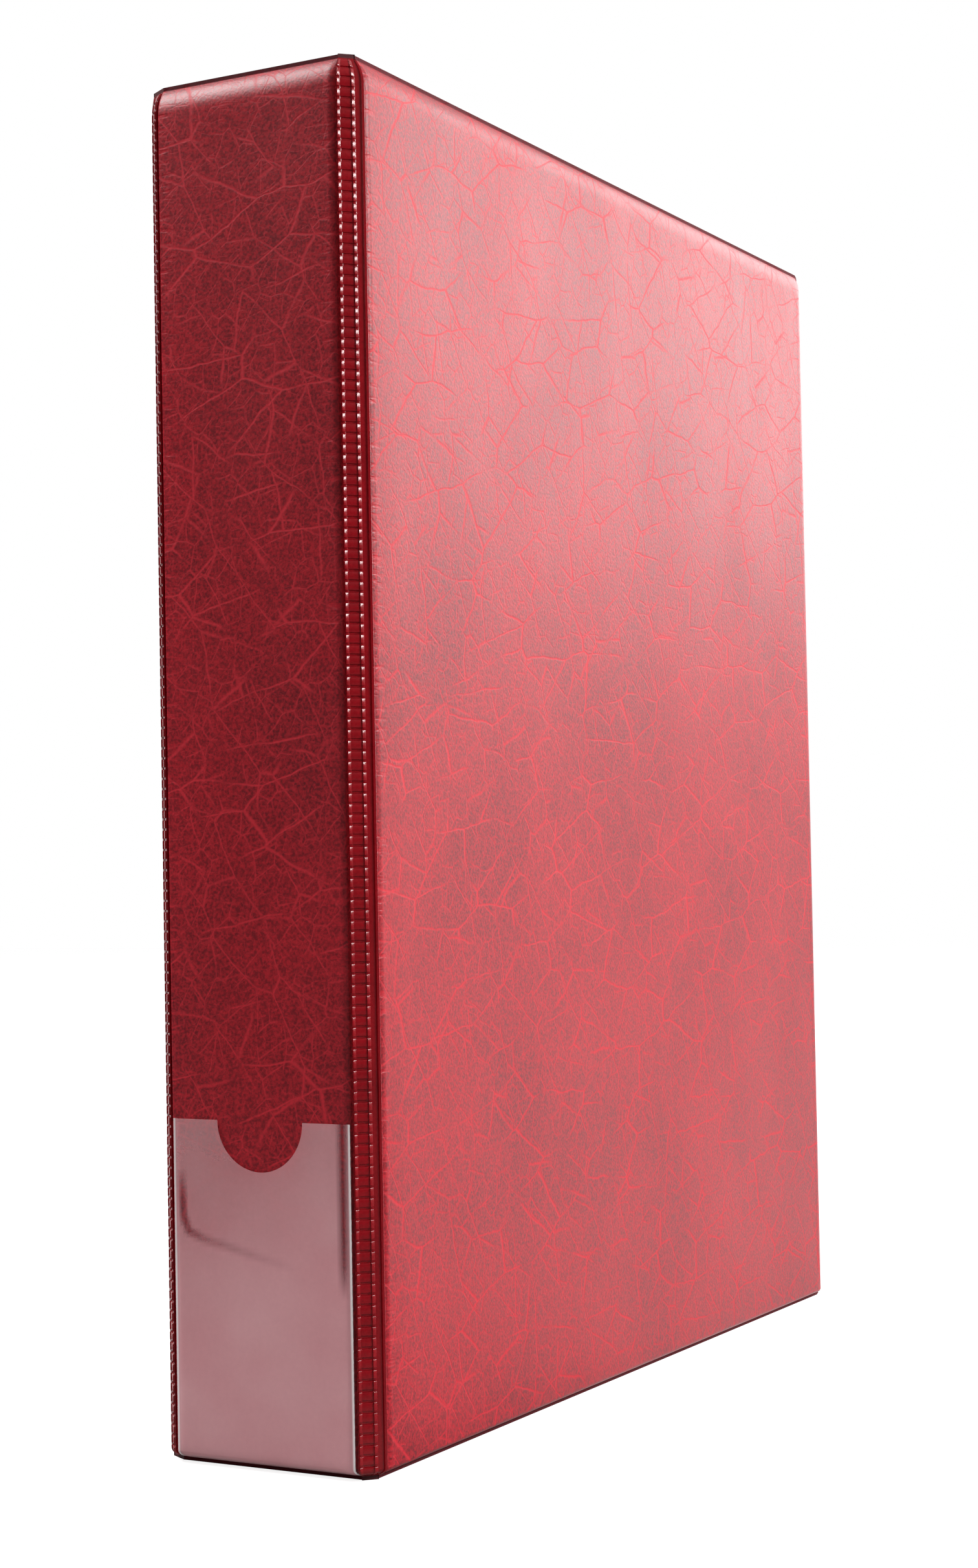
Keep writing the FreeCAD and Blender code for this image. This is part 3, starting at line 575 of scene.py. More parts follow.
for start in rail_starts:
    bead = block(start, start + rail_width, rung_low, rung_low + rung_width, 0, bead_height)
    pick("EDGE", lambda middle, item: near(middle.z, bead_height) and near(middle.x, start + rail_width))
    bpy.ops.transform.translate(value=(0, 0, -bead_lean))
    pick("FACE", lambda middle, item: item.normal.z > 0.8)
    bpy.ops.mesh.region_to_loop()
    bpy.ops.mesh.bevel(affect="EDGES", offset=bead_round, segments=2)
    cell.append(bead)
cell = join("ladder_cell", cell)
repeat_up(cell, rung_count, rung_pitch)
front_strip = join("front_hinge_ladder", parts + [cell])
bpy.ops.object.mode_set(mode="EDIT")
for step in range(end_steps):
    slices((0, 1, 0), [flange_width * (1 + step * foot_share), album_height - flange_width * (1 + step)])
leave_edit_mode()
back_strip = twin(front_strip, "back_hinge_ladder")
# Both ends lean in with the crowns beside them, down to the flange. The front strip draws in from both
# sides. The back strip follows the spine's crown and stays nearly straight along the cover.
for strip in (front_strip, back_strip):
    for vertex in strip.data.vertices:
        from_foot = vertex.co.y if vertex.co.y < flange_width else (
            flange_width + (vertex.co.y - flange_width) / foot_share)
        from_end = min(from_foot, album_height - vertex.co.y)
        if from_end < flange_width + hair and vertex.co.z > -strip_thickness / 2:
            vertex.co.z = 0
        depth = min(slope_width, max(0, flange_width + slope_width - from_end))
        sunk = (slope_radius - math.sqrt(slope_radius ** 2 - depth ** 2)) * math.sqrt(0.5)
        share = vertex.co.x / strip_width
        if strip == front_strip:
            vertex.co.z -= sunk
            vertex.co.x += sunk * (front_shift - front_twist * share)
        else:
            vertex.co.z -= sunk * (1 - back_twist * share)
            vertex.co.x += sunk * (1 - back_twist * share)
tilt = math.sqrt(0.5)
spine_face = spine_high.y - skin_top
put(front_strip, facing((tilt, tilt, 0), (0, 0, 1), (tilt, -tilt, 0), (spine_high.x, spine_face, 0)),
    smooth_angle=30)
put(back_strip, facing((-tilt, tilt, 0), (0, 0, 1), (-tilt, -tilt, 0), (spine_low.x, spine_face, 0)),
    smooth_angle=30)
# The back strip is the front one mirrored, so its faces are turned outwards again.
bpy.ops.object.mode_set(mode="EDIT")
face_outwards()
leave_edit_mode()
for strip, node in ((front_strip, "front_hinge_strip"), (back_strip, "back_hinge_strip")):
    paint(strip, weld_vinyl)
    stand_for(strip, "spine", "weld_vinyl", node)


# Label pocket: a hazy clear film over the foot of the spine, welded down at both sides and at the foot,
# open at the top with a round thumb notch. It is empty and a little dented.


def cut(piece, cutter):
    """Take the form of a cutter out of a piece."""
    modify(piece, "BOOLEAN", operation="DIFFERENCE", object=cutter, solver="EXACT")
    bpy.data.objects.remove(cutter)


pocket_low, pocket_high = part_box("label_pocket")
film_thickness = 0.16 * MM
film_rise = 0.38 * MM
film_top = skin_top + film_rise
film_radius = slope_radius + film_rise
film_ease = 0.05 * MM
film_pitch = 0.75 * MM
weld_band = 0.7 * MM
step_run = 0.25 * MM
# How far the film runs outwards and drops, step by step, to its side welds
side_steps = ((step_run, 0.06 * MM), (step_run, 0.14 * MM), (weld_band, 0))
notch_radius = 9.75 * MM
notch_depth = 4 * MM
notch_x = (pocket_low.x + pocket_high.x) / 2
left, right = pocket_low.x, pocket_high.x

clear_film, sockets, place = finish("clear_film", {"IOR": 1.5, "Specular IOR Level": 0.6})
haze = place.noise(55, 2)
dust = place.noise(800, 2, 0.7)
x, z = place.axes("XZ")
clearer = (z - x * 0.5).ramp(25 * MM, 75 * MM)
# The side welds are whiter and more opaque: partly the sealed film's own whitening, partly a painted
# highlight along the weld beads
weld_and_painted_highlight = 1 - (x - left).least(right - x).ramp(0.25 * MM, 0.6 * MM)
# Along each dent the film is painted darker and clearer: a painted dark reflection and shade along the dent
dent_painted_reflection = place.node("ShaderNodeAttribute", {"attribute_name": "dent"}, {}, output="Fac")
milky = haze.tint((0.95, 0.42, 0.46), (1.0, 0.57, 0.6))
place.feed(sockets["Base Color"], weld_and_painted_highlight.tint(dent_painted_reflection.tint(milky, (0.3, 0.1, 0.12)), (1.0, 0.9, 0.9)))
place.feed(sockets["Roughness"], 0.26 + dust * 0.14)
milk = 0.57 - clearer * 0.4 + haze * 0.14 + dust * 0.06
place.feed(sockets["Alpha"], milk * (1 - dent_painted_reflection * 0.85) + weld_and_painted_highlight * 0.4)
place.feed(sockets["Normal"], place.bump(haze + dust * 0.1, 0.25 * MM, 0.6))

slope_end = flange_width + slope_width * foot_share + film_ease
film = flat_sheet("label_pocket_film", left + weld_band + 2 * step_run, right - weld_band - 2 * step_run,
                  slope_end, pocket_high.z)
bpy.ops.transform.translate(value=(0, 0, film_top))
pick("EDGE", lambda middle, item: near(middle.y, slope_end))
foot_steps = 6
foot_turn = math.asin(slope_width / film_radius)
for step in range(foot_steps):
    before, after = (foot_turn * spot / foot_steps for spot in (step, step + 1))
    pull_edges(0, film_radius * (math.sin(before) - math.sin(after)) * foot_share,
               film_radius * (math.cos(after) - math.cos(before)))
for edge_x, outward in ((left + weld_band + 2 * step_run, -1), (right - weld_band - 2 * step_run, 1)):
    pick_side(edge_x)
    for run, drop in side_steps:
        pull_edges(outward * run, 0, -drop)
slices((1, 0, 0), [spot * film_pitch for spot in range(-25, 26)])
slices((0, 1, 0), [spot * film_pitch for spot in range(5, 88)])
face_outwards()
leave_edit_mode()
# One dent runs down the left side, turns and fades out to the right. Another runs down beside the right
# weld. Each corner of a dent is a place across and up, in millimetres, and how strong the dent is there.
dents = (
    [(-18, 56, 0.2), (-17.8, 51, 1), (-17.6, 47.5, 1), (-16.5, 45, 0.8), (-13, 43.6, 0.4),
     (-4.4, 41.7, 0.2), (9, 38.8, 0)],
    [(18.8, 70, 1), (18.8, 48, 1), (18.8, 40, 0.8), (18.8, 34, 0)],
)
dent_width = 1.2
dent_depth = 0.15 * MM
# Each dent's strength is also kept on the film, for the painted dark reflection along it
marks = film.data.attributes.new("dent", "FLOAT", "POINT")
for vertex in film.data.vertices:
    spot = Vector((vertex.co.x / MM, vertex.co.y / MM))
    mark = 0
    for path in dents:
        for start, end in zip(path, path[1:]):
            run = Vector(end[:2]) - Vector(start[:2])
            along = min(1, max(0, (spot - Vector(start[:2])).dot(run) / run.length_squared))
            gap = (spot - Vector(start[:2]) - run * along).length
            strength = start[2] + (end[2] - start[2]) * along
            mark = max(mark, strength * (1 - gap / dent_width))
    marks.data[vertex.index].value = mark
    vertex.co.z -= dent_depth * mark
modify(film, "SOLIDIFY", thickness=film_thickness, offset=-1)
bpy.ops.object.select_all(action="DESELECT")
bpy.ops.mesh.primitive_cylinder_add(vertices=96, radius=notch_radius, depth=notch_depth,
                                    location=(notch_x, pocket_high.z, skin_top))
cut(film, bpy.context.object)
put(film, panels["spine"]["place"], smooth_angle=40)
paint(film, clear_film)
stand_for(film, "spine", "clear_film", "label_pocket")


# Ring plate: the arched cover of the ring mechanism, pressed from sprung steel and nickel plated, with a
# slot for each ring wire. It is riveted to the inside of the back cover.


def break_edges(piece, width, segments, angle):
    """Round off the edges of a piece that turn by more than an angle."""
    modify(piece, "BEVEL", width=width, segments=segments, limit_method="ANGLE",
           angle_limit=math.radians(angle))


nickel, sockets, place = finish("nickel_steel", {"Metallic": 1.0, "IOR": 1.8})
brushed = place.stretched((1, 1, 0.04)).noise(2400, 3, 0.6)
smears = place.noise(70, 3)
plating = (smears * 0.7 + brushed * 0.3).tint((0.56, 0.55, 0.53), (0.72, 0.71, 0.69))
place.feed(sockets["Base Color"], plating)
place.feed(sockets["Roughness"], 0.12 + smears * 0.14 + brushed * 0.06)
place.feed(sockets["Normal"], place.bump(brushed, 0.012 * MM))

plate_low, plate_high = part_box("ring_plate")
plate_wall = 3.8 * MM
plate_sheet = 0.9 * MM
plate_edge = 0.18 * MM
plate_floor = back_high.x
plate_rise = plate_high.x - plate_floor - plate_wall
plate_half = (plate_high.y - plate_low.y) / 2
ring_y = (plate_high.y + plate_low.y) / 2
arch_radius = (plate_half ** 2 + plate_rise ** 2) / (2 * plate_rise)
arch_angle = 2 * math.asin(plate_half / arch_radius)
arch_centre = Vector((plate_high.x - arch_radius, ring_y, 0))
ring_levels = [sum(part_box(f"ring_post_{number}")[end].z for end in (0, 1)) / 2 for number in range(1, 5)]
rivet_levels = {end: sum(corner.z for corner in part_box(f"{end}_rivet")) / 2 for end in ("lower", "upper")}
# One side edge of the arch is spun over to the other side, and both edges are drawn down as walls.
start_width = 1 * MM
plate = flat_sheet("ring_plate_arch", 0, start_width, plate_low.z, plate_high.z)
pick("VERT", lambda middle, item: middle.x > start_width / 2)
bpy.ops.mesh.delete(type="VERT")
mesh = bmesh.from_edit_mesh(plate.data)
for vertex in mesh.verts:
    vertex.co = Vector((plate_floor + plate_wall, plate_low.y, vertex.co.y))
bmesh.update_edit_mesh(plate.data)
bpy.ops.mesh.select_mode(type="EDGE")
bpy.ops.mesh.select_all(action="SELECT")
bpy.ops.mesh.spin(steps=20, angle=-arch_angle, center=arch_centre, axis=(0, 0, 1))
for side_y in (plate_low.y, plate_high.y):
    pick("EDGE", lambda middle, item: near(middle.y, side_y))
    pull_edges(-plate_wall, 0, 0)
face_outwards(merged=True)
mesh = bmesh.from_edit_mesh(plate.data)
if max(mesh.faces, key=lambda face: face.calc_center_median().x).normal.x < 0:
    bpy.ops.mesh.flip_normals()
modify(plate, "SOLIDIFY", thickness=plate_sheet, offset=-1)
cutters = []
wire_room = 1.9 * MM
post_slot = (5.6 * MM, 10.62 * MM)
arm_slot = (-9.85 * MM, -4.5 * MM)
slot_foot = 2.8 * MM
slot_over = 1 * MM
slot_round = 1.2 * MM
for level in ring_levels:
    for low_y, high_y in (post_slot, arm_slot):
        slot = block(plate_floor + slot_foot, plate_high.x + slot_over, ring_y + low_y, ring_y + high_y,
                     level - wire_room, level + wire_room)
        pick("EDGE", lambda middle, item: item.verts[0].co.yz == item.verts[1].co.yz)
        bpy.ops.mesh.bevel(affect="EDGES", offset=slot_round, segments=5)
        cutters.append(slot)
cut(plate, join("plate_slots", cutters))
break_edges(plate, plate_edge, 2, 40)
put(plate, Matrix.Identity(4))
paint(plate, nickel)
stand_for(plate, "back_cover", "nickel_steel", "ring_plate")


# Toggle blades and lever pins: two flat steel strips that rock under the plate with the wires staked in
# them, and the two cross pins of the levers. All are plated like the plate.

for node in ("post_blade", "arc_blade", "upper_lever_pin", "lower_lever_pin"):
    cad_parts[node].data.materials[0] = nickel


# Rings: four D rings of round plated wire. Each has a straight post with a tight bend on top and a bowed
# arm that meets it, and each half is staked in its own blade.


def draw_out(*way):
    """In edit mode, extrude the selected faces this way."""
    bpy.ops.mesh.extrude_region_move(TRANSFORM_OT_translate={"value": way})


def wire(name, foot, lean, length):
    """A new round wire in edit mode, straight from its foot in the level of its ring, its end selected."""
    bpy.ops.object.select_all(action="DESELECT")
    bpy.ops.mesh.primitive_circle_add(vertices=20, radius=wire_radius, fill_type="NGON")
    bpy.context.object.name = name
    lying = Matrix.Rotation(math.pi / 2, 4, "Y")
    bpy.context.object.matrix_world = Matrix.Translation(foot) @ Matrix.Rotation(lean, 4, "Z") @ lying
    bpy.ops.object.transform_apply(location=True, rotation=True, scale=True)
    bpy.ops.object.mode_set(mode="EDIT")
    bpy.ops.mesh.select_all(action="SELECT")
    draw_out(length * math.cos(lean), length * math.sin(lean), 0)
    return bpy.context.object


def wire_bend(centre, angle, steps):
    """Carry the selected end of a wire round a centre, anticlockwise from above for a positive angle."""
    bpy.ops.mesh.spin(steps=steps, angle=-angle, center=centre, axis=(0, 0, 1))


def wire_end(piece, body, node, place_of_tip):
    """Round the tip of a wire off, close it and let it stand for its node."""
    pick("EDGE", lambda middle, item: (middle - place_of_tip).length < tip_reach
         and all(near((corner.co - place_of_tip).y, 0) for corner in item.verts))
    bpy.ops.mesh.bevel(affect="EDGES", offset=tip_round, segments=3)
    face_outwards(merged=True)
    put(piece, Matrix.Identity(4))
    paint(piece, nickel)
    stand_for(piece, body, "nickel_steel", node)


wire_radius = 1.5 * MM
tip_reach = wire_radius * 1.02
foot_height = 1.6 * MM
ring_height = 35 * MM
post_offset = 7.5 * MM
post_bend = 3.5 * MM
arc_radius = 14 * MM
arc_foot = 4.5 * MM
tip_offset = 0.5 * MM
tip_gap = 0.3 * MM
tip_round = 0.35 * MM
arm_rise = ring_height - arc_radius - foot_height
arm_run = tip_offset + arc_foot
arm_leg = math.sqrt(arm_rise ** 2 + arm_run ** 2 - arc_radius ** 2)
arm_lean = math.asin(arc_radius / math.hypot(arm_rise, arm_run)) - math.atan2(arm_run, arm_rise)
for number, level in enumerate(ring_levels, 1):
    foot = Vector((plate_floor + foot_height, ring_y + post_offset, level))
    post = wire(f"ring_post_wire_{number}", foot, 0, ring_height - post_bend - foot_height)
    bend_centre = Vector((plate_floor + ring_height - post_bend, ring_y + post_offset - post_bend, level))
    wire_bend(bend_centre, -math.pi / 2, 8)
    tip = Vector((plate_floor + ring_height, ring_y + tip_offset + tip_gap, level))
    draw_out(0, tip.y - bend_centre.y, 0)
    wire_end(post, "post_half", f"ring_post_{number}", tip)

    foot = Vector((plate_floor + foot_height, ring_y - arc_foot, level))
    arm = wire(f"ring_arm_wire_{number}", foot, -arm_lean, arm_leg)
    bow_centre = Vector((plate_floor + ring_height - arc_radius, ring_y + tip_offset, level))
    wire_bend(bow_centre, math.pi / 2 + arm_lean, 24)
    tip = Vector((plate_floor + ring_height, ring_y + tip_offset, level))
    wire_end(arm, "arc_half", f"ring_arc_{number}", tip)


# Levers: pressed steel thumb plates at both ends of the mechanism. Each is curled round its cross pin, and
# a tongue behind the pin reaches under the blades and lifts them.

pin_height = 2.9 * MM
lever_sheet = 1.2 * MM
hub_radius = 1.9 * MM
pin_radius = 0.8 * MM
hub_width = 14 * MM
lever_rise = 4.6 * MM
lever_reach = 15 * MM
lever_width = 20 * MM
lever_neck = 5.5 * MM
lever_flare = 3 * MM
lever_corner = 4 * MM
neck_round = 0.8 * MM
lever_cuts = [spot * MM for spot in (2, 4, 6.5, 9.5, 10.5, 11, 12, 13, 14)]
lever_edge = 0.25 * MM
pin_clearance = 0.08 * MM
hub_edge = 0.15 * MM
tongue_reach = 5.8 * MM
tongue_width = 3 * MM
tongue_low = 0.4 * MM
tongue_high = 0.95 * MM
tongue_edge = 0.12 * MM
root_half = 0.8 * MM
root_low = 0.5 * MM
root_top = -0.9 * MM
pin_levels = {end: sum(corner.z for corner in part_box(f"{end}_lever_pin")) / 2 for end in ("upper", "lower")}
for end, outward in (("upper", 1), ("lower", -1)):
    # Made lying flat: across the plate, outwards along it, and up from the pin.
    slant = lever_rise / lever_reach
    thumb = flat_sheet(f"{end}_thumb_lever", -hub_width / 2, hub_width / 2, 0, lever_neck)
    pick("EDGE", lambda middle, item: near(middle.y, lever_neck))
    pull_edges(0, lever_flare, 0)
    bpy.ops.transform.resize(value=(lever_width / hub_width, 1, 1), center_override=(0, 0, 0))
    pull_edges(0, lever_reach - lever_neck - lever_flare, 0)
    pick("VERT", lambda middle, item: near(middle.y, lever_reach))
    bpy.ops.mesh.bevel(affect="VERTICES", offset=lever_corner, segments=8)
    pick("VERT", lambda middle, item: near(middle.y, lever_neck) or near(middle.y, lever_neck + lever_flare))
    bpy.ops.mesh.bevel(affect="VERTICES", offset=neck_round, segments=3)
    slices((0, 1, 0), lever_cuts)
    leave_edit_mode()
    for vertex in thumb.data.vertices:
        vertex.co.z = slant * vertex.co.y
    bpy.ops.object.mode_set(mode="EDIT")
    face_outwards()
    modify(thumb, "SOLIDIFY", thickness=lever_sheet, offset=0)
    break_edges(thumb, lever_edge, 3, 50)
    bpy.ops.object.select_all(action="DESELECT")
    bpy.ops.mesh.primitive_cylinder_add(vertices=32, radius=hub_radius, depth=hub_width,
                                        end_fill_type="NOTHING", rotation=(0, math.pi / 2, 0))
    hub = bpy.context.object
    bpy.ops.object.transform_apply(location=True, rotation=True, scale=True)
    modify(hub, "SOLIDIFY", thickness=hub_radius - pin_radius - pin_clearance, offset=-1)
    break_edges(hub, hub_edge, 2, 50)
    tongue = block(-tongue_width / 2, tongue_width / 2, -tongue_reach, root_half,
                   tongue_low - pin_height, tongue_high - pin_height)
    bpy.ops.mesh.bevel(affect="EDGES", offset=tongue_edge, segments=2)
    root = block(-tongue_width / 2, tongue_width / 2, -root_half, root_half, root_low - pin_height, root_top)
    bpy.ops.mesh.bevel(affect="EDGES", offset=tongue_edge, segments=2)
    lever = join(f"{end}_thumb_lever", [thumb, hub, tongue, root])
    pin_middle = (plate_floor + pin_height, ring_y, pin_levels[end])
    put(lever, facing((0, outward, 0), (0, 0, outward), (1, 0, 0), pin_middle))
    paint(lever, nickel)
    stand_for(lever, f"{end}_lever_arm", "nickel_steel", f"{end}_lever")


# Rivets: two tubular rivets through plate, lining, board and skin. The low round head lies on the outside
# of the back cover, and the spun-over end shows on the crown of the plate.


def turn_head(profile, level, way):
    """Draw the selected end of a rivet out along a turned profile of radius and lift, from a level."""
    radius, lift = rivet_shank, 0
    for next_radius, next_lift in profile:
        draw_out(0, 0, way * (next_lift - lift))
        growth = next_radius / radius
        bpy.ops.transform.resize(value=(growth, growth, 1), center_override=(0, 0, level + way * next_lift))
        radius, lift = next_radius, next_lift


rivet_shank = 2.2 * MM
# Radius and lift: the spun end is a low dome with a hollow in the middle, and the head is a shallow dome.
spun_end = ((4 * MM, 0), (4 * MM, 0.15 * MM), (3.6 * MM, 0.5 * MM), (2.9 * MM, 0.8 * MM),
            (2.2 * MM, 0.9 * MM), (1.5 * MM, 0.85 * MM), (1.1 * MM, 0.55 * MM))
round_head = ((5 * MM, 0), (4.9 * MM, 0.18 * MM), (4.2 * MM, 0.36 * MM), (3 * MM, 0.46 * MM),
              (1.5 * MM, 0.5 * MM))
back_outside = back_high.x - skin_top
for end, level in rivet_levels.items():
    bpy.ops.object.select_all(action="DESELECT")
    bpy.ops.mesh.primitive_circle_add(vertices=40, radius=rivet_shank, fill_type="NGON")
    rivet = bpy.context.object
    rivet.name = f"{end}_turned_rivet"
    bpy.ops.object.mode_set(mode="EDIT")
    bpy.ops.mesh.select_all(action="SELECT")
    shank_length = plate_high.x - back_outside
    draw_out(0, 0, shank_length)
    turn_head(spun_end, shank_length, 1)
    pick("FACE", lambda middle, item: item.normal.z < -0.9 and near(middle.z, 0))
    turn_head(round_head, 0, -1)
    face_outwards(merged=True)
    put(rivet, facing((0, 1, 0), (0, 0, 1), (1, 0, 0), (back_outside, ring_y, level)), smooth_angle=40)
    paint(rivet, nickel)
    stand_for(rivet, "back_cover", "nickel_steel", f"{end}_rivet")


# Stock leaves: six leaves of black card. Each has a punched margin on the ring posts and a page with round
# outer corners, cut apart at the score and joined again by a tape.

black_card, sockets, place = finish("black_card", {"Specular IOR Level": 0.25})
fibres = place.stretched((1, 3, 1)).noise(1300, 4, 0.7)
clouds = place.noise(45, 2)
soot = (fibres * 0.7 + clouds * 0.3).tint((0.007, 0.007, 0.008), (0.022, 0.022, 0.024))
place.feed(sockets["Base Color"], soot)
place.feed(sockets["Roughness"], 0.7 + fibres * 0.2)
place.feed(sockets["Normal"], place.bump(fibres, 0.05 * MM))
leaf_count = 6
for number in range(1, leaf_count + 1):
    for part in ("margin", "card"):
        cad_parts[f"leaf_{number}_{part}"].data.materials[0] = black_card


# Leaf tapes: black bookbinding cloth, glued over the score on the back of each leaf, so that the page
# turns while its margin stays on the posts.

hinge_cloth, sockets, place = finish("hinge_cloth", {"Specular IOR Level": 0.2})
yarn = {"Vector": place, "Scale": 420, "Distortion": 0.6}
warp = place.node("ShaderNodeTexWave", {"bands_direction": "Y"}, yarn)
weft = place.node("ShaderNodeTexWave", {"bands_direction": "Z"}, yarn)
threads = warp.most(weft)
dye = (threads * 0.8 + place.noise(200, 2) * 0.2).tint((0.01, 0.01, 0.011), (0.04, 0.04, 0.043))
place.feed(sockets["Base Color"], dye)
place.feed(sockets["Roughness"], 0.72 + threads * 0.2)
place.feed(sockets["Normal"], place.bump(threads, 0.08 * MM))

tape_low, tape_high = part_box("leaf_1_tape")
tape_thickness = tape_high.x - tape_low.x
score_y = (tape_low.y + tape_high.y) / 2
bend_pitch = 0.5 * MM
tape_pitch = 12 * MM
tape_share = 0.96
first_tape = flat_sheet("leaf_tape", -tape_high.y, -tape_low.y, tape_low.z, tape_high.z)
slices((1, 0, 0), [-score_y + spot * bend_pitch for spot in range(-10, 11)])
slices((0, 1, 0), [tape_low.z + spot * tape_pitch for spot in range(1, 21)])
modify(first_tape, "SOLIDIFY", thickness=tape_thickness * tape_share, offset=-1)
for number in range(1, leaf_count + 1):
    tape = twin(first_tape, f"leaf_{number}_cloth_tape")
    tape_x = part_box(f"leaf_{number}_tape")[0].x
    put(tape, facing((0, -1, 0), (0, 0, 1), (-1, 0, 0), (tape_x, 0, 0)))
    paint(tape, hinge_cloth)
    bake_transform(tape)
    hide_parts(f"leaf_{number}_tape")
bpy.data.objects.remove(first_tape)


# Stamp strips: bands of clear polyester in rows on both faces of each page. Each is sealed down along its
# foot and at its ends and stands a hair off the card along its top, where the stamps go in.

clear_strip, sockets, place = finish("clear_strip", {"IOR": 1.6, "Base Color": (0.9, 0.92, 0.94, 1)})
scuffs = place.stretched((1, 0.2, 1)).noise(500, 2)
place.feed(sockets["Roughness"], 0.06 + scuffs * 0.08)
place.feed(sockets["Alpha"], 0.1 + scuffs * 0.06)

strip_low, strip_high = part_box("leaf_1_pockets")
card_low, card_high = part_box("leaf_1_card")
strip_gap = strip_high.x - card_high.x
row_height = 35 * MM
row_pitch = 40 * MM
row_count = 6
foot_seal = 2.5 * MM
end_seal = 2 * MM
seal_step = 0.4 * MM
sheet_film = 0.05 * MM
sealed_level = 1.4 * sheet_film
strip = flat_sheet("stamp_strip", strip_low.y + end_seal, strip_high.y - end_seal,
                   strip_low.z + foot_seal, strip_low.z + row_height)
bpy.ops.transform.translate(value=(0, 0, strip_gap))
pick("EDGE", lambda middle, item: near(middle.y, strip_low.z + foot_seal))
for run, drop in ((seal_step, strip_gap - sealed_level), (foot_seal - seal_step, 0)):
    pull_edges(0, -run, -drop)
for edge_x, outward in ((strip_low.y + end_seal, -1), (strip_high.y - end_seal, 1)):
    pick_side(edge_x)
    pull_edges(outward * end_seal, 0, 0)
    bpy.ops.transform.resize(value=(1, 1, 0), center_override=(0, 0, sealed_level))
face_outwards()
leave_edit_mode()
if strip.data.polygons[0].normal.z < 0:
    bpy.ops.object.mode_set(mode="EDIT")
    bpy.ops.mesh.flip_normals()
modify(strip, "SOLIDIFY", thickness=sheet_film, offset=-1)
repeat_up(strip, row_count, row_pitch)
for number in range(1, leaf_count + 1):
    faces = []
    card_low, card_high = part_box(f"leaf_{number}_card")
    for card_face, outward in ((card_high.x, 1), (card_low.x, -1)):
        rows = twin(strip, "stamp_rows")
        put(rows, facing((0, 1, 0), (0, 0, 1), (outward, 0, 0), (card_face, 0, 0)))
        faces.append(rows)
    # The rows on the far face are mirrored, so their faces are turned outwards again.
    bpy.ops.object.mode_set(mode="EDIT")
    face_outwards()
    strips = join(f"leaf_{number}_stamp_strips", faces)
    paint(strips, clear_strip)
    stand_for(strips, f"leaf_{number}", "clear_strip", f"leaf_{number}_pockets")
bpy.data.objects.remove(strip)


# Stage: a white floor that runs out to a white surround, a soft box on the right, a broad one behind the
# album and a third one high up on the left.


def ray_kinds(shade):
    """Whether a ray comes from the camera, from a glossy surface or through a clear one."""
    rays = shade.node("ShaderNodeLightPath", {}, {})
    return rays.outputs("Is Camera Ray", "Is Glossy Ray", "Is Transmission Ray")


floor_half = 2.5
floor_drop = 0.05 * MM
floor = flat_sheet("studio_floor", -floor_half, floor_half, -floor_half, floor_half)
put(floor, Matrix.Translation((0, 0, -floor_drop)))
white_floor, sockets, place = finish("white_floor", {"Roughness": 0.9, "Specular IOR Level": 0.1})
paint(floor, white_floor)
x, y = place.axes("XY")
behind = (y - x * 0.5).ramp(-0.19, 0.05)
seen, mirrored, passed = ray_kinds(place)
# The floor in front of the album is kept out of its gloss, as a dark card does in a studio.
paper = place.noise(3, 1).tint((0.35, 0.35, 0.35), (0.37, 0.37, 0.37))
place.feed(sockets["Base Color"], (mirrored * (1 - behind) * 0.9).tint(paper, (0.02, 0.02, 0.02)))
sockets["Emission Strength"].default_value = 1
place.feed(sockets["Emission Color"], (seen + passed + mirrored * behind) * 0.85)

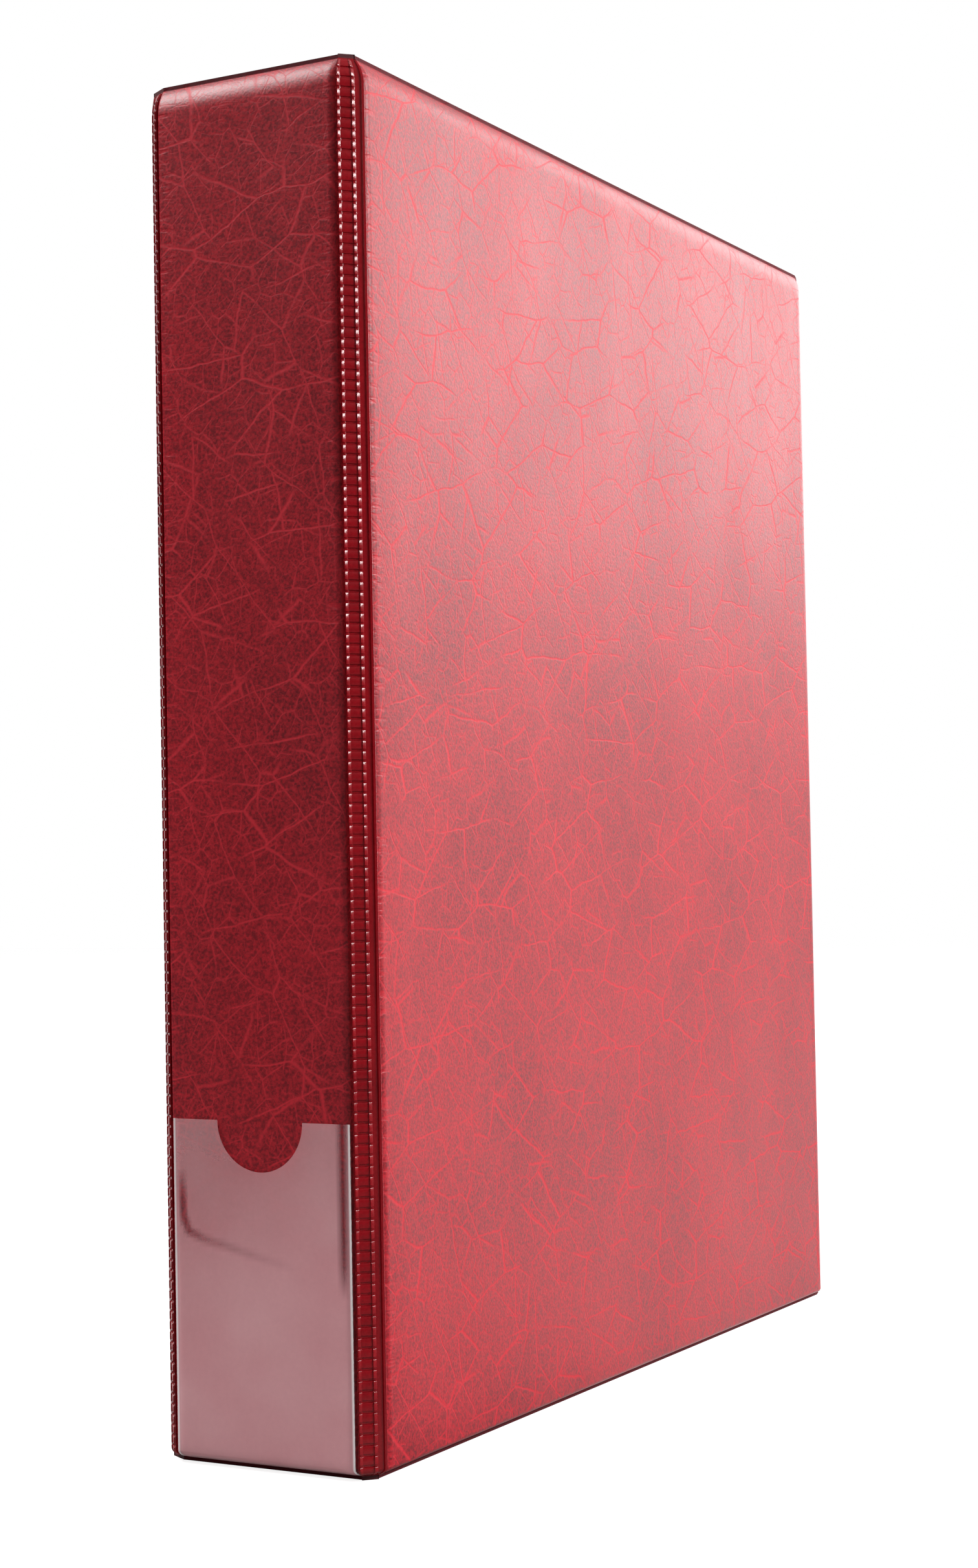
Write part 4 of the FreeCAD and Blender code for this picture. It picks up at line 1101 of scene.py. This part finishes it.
world = bpy.data.worlds.new("white_surround")
world.use_nodes = True
bpy.context.scene.world = world
sky = Shade(world.node_tree)
towards = sky.node("ShaderNodeTexCoord", {}, {}, output="Generated")
side_x, side_y, side_z = towards.axes("XYZ")
seen, mirrored, passed = ray_kinds(sky)
behind = (side_y + sky.math("ABSOLUTE", side_x, 0) * 0.15).ramp(0.25, 0.65)
white = (seen + passed).most(mirrored * behind)
level = 0.05 + behind * 0.3 + side_z.ramp(0.0, 0.9) * 0.25
backdrop = sky.tree.nodes["Background"]
backdrop.inputs["Strength"].default_value = 1
sky.feed(backdrop.inputs["Color"], level + white * (1 - level))


def soft_light(name, spot, aim, width, height, power):
    """A rectangular soft box that looks from a spot to an aim."""
    lamp = bpy.data.lights.new(name, "AREA")
    lamp.shape = "RECTANGLE"
    lamp.size = width
    lamp.size_y = height
    lamp.energy = power
    holder = bpy.data.objects.new(name, lamp)
    bpy.context.scene.collection.objects.link(holder)
    holder.location = spot
    holder.rotation_euler = (Vector(aim) - Vector(spot)).to_track_quat("-Z", "Y").to_euler()
    holder.visible_camera = False


soft_light("right_soft_box", (0.97, 0.1, 0.6), (0, 0, 0.16), 0.5, 0.3, 11.5)
soft_light("back_soft_box", (0.5, 1.3, 0.72), (0, 0, 0.2), 1.3, 0.8, 13)
soft_light("overhead_soft_box", (-0.75, -0.45, 1.3), (0, 0, 0.2), 0.7, 0.7, 21)


# Camera: level with the middle of the album and swung to the right of the spine. Its angles, distance and
# focal length, in pixels of the frame's height, are those that fit the album's outline.

swing = math.radians(28.61)
tip_down = math.radians(-1.68)
camera_roll = math.radians(-1.06)
distance = 601.8 * MM
aim_left = 9.68 * MM
aim_low = 1.6 * MM
focal_pixels = 4031.6
frame_pixels = 2423
back = Vector((math.sin(swing) * math.cos(tip_down), -math.cos(swing) * math.cos(tip_down),
               math.sin(tip_down)))
across = Vector((math.cos(swing), math.sin(swing), 0))
upwards = back.cross(across)
aim = Vector((0, 0, album_height / 2)) - across * aim_left - upwards * aim_low
turned_across = across * math.cos(camera_roll) + upwards * math.sin(camera_roll)
turned_up = upwards * math.cos(camera_roll) - across * math.sin(camera_roll)
lens = bpy.data.cameras.new("camera")
lens.sensor_width = 36
lens.lens = focal_pixels / frame_pixels * lens.sensor_width
lens.clip_start = 0.01
camera = bpy.data.objects.new("camera", lens)
bpy.context.scene.collection.objects.link(camera)
camera.matrix_world = facing(turned_across, turned_up, back, aim + back * distance)
bpy.context.scene.camera = camera
bpy.context.scene.view_settings.view_transform = "Standard"
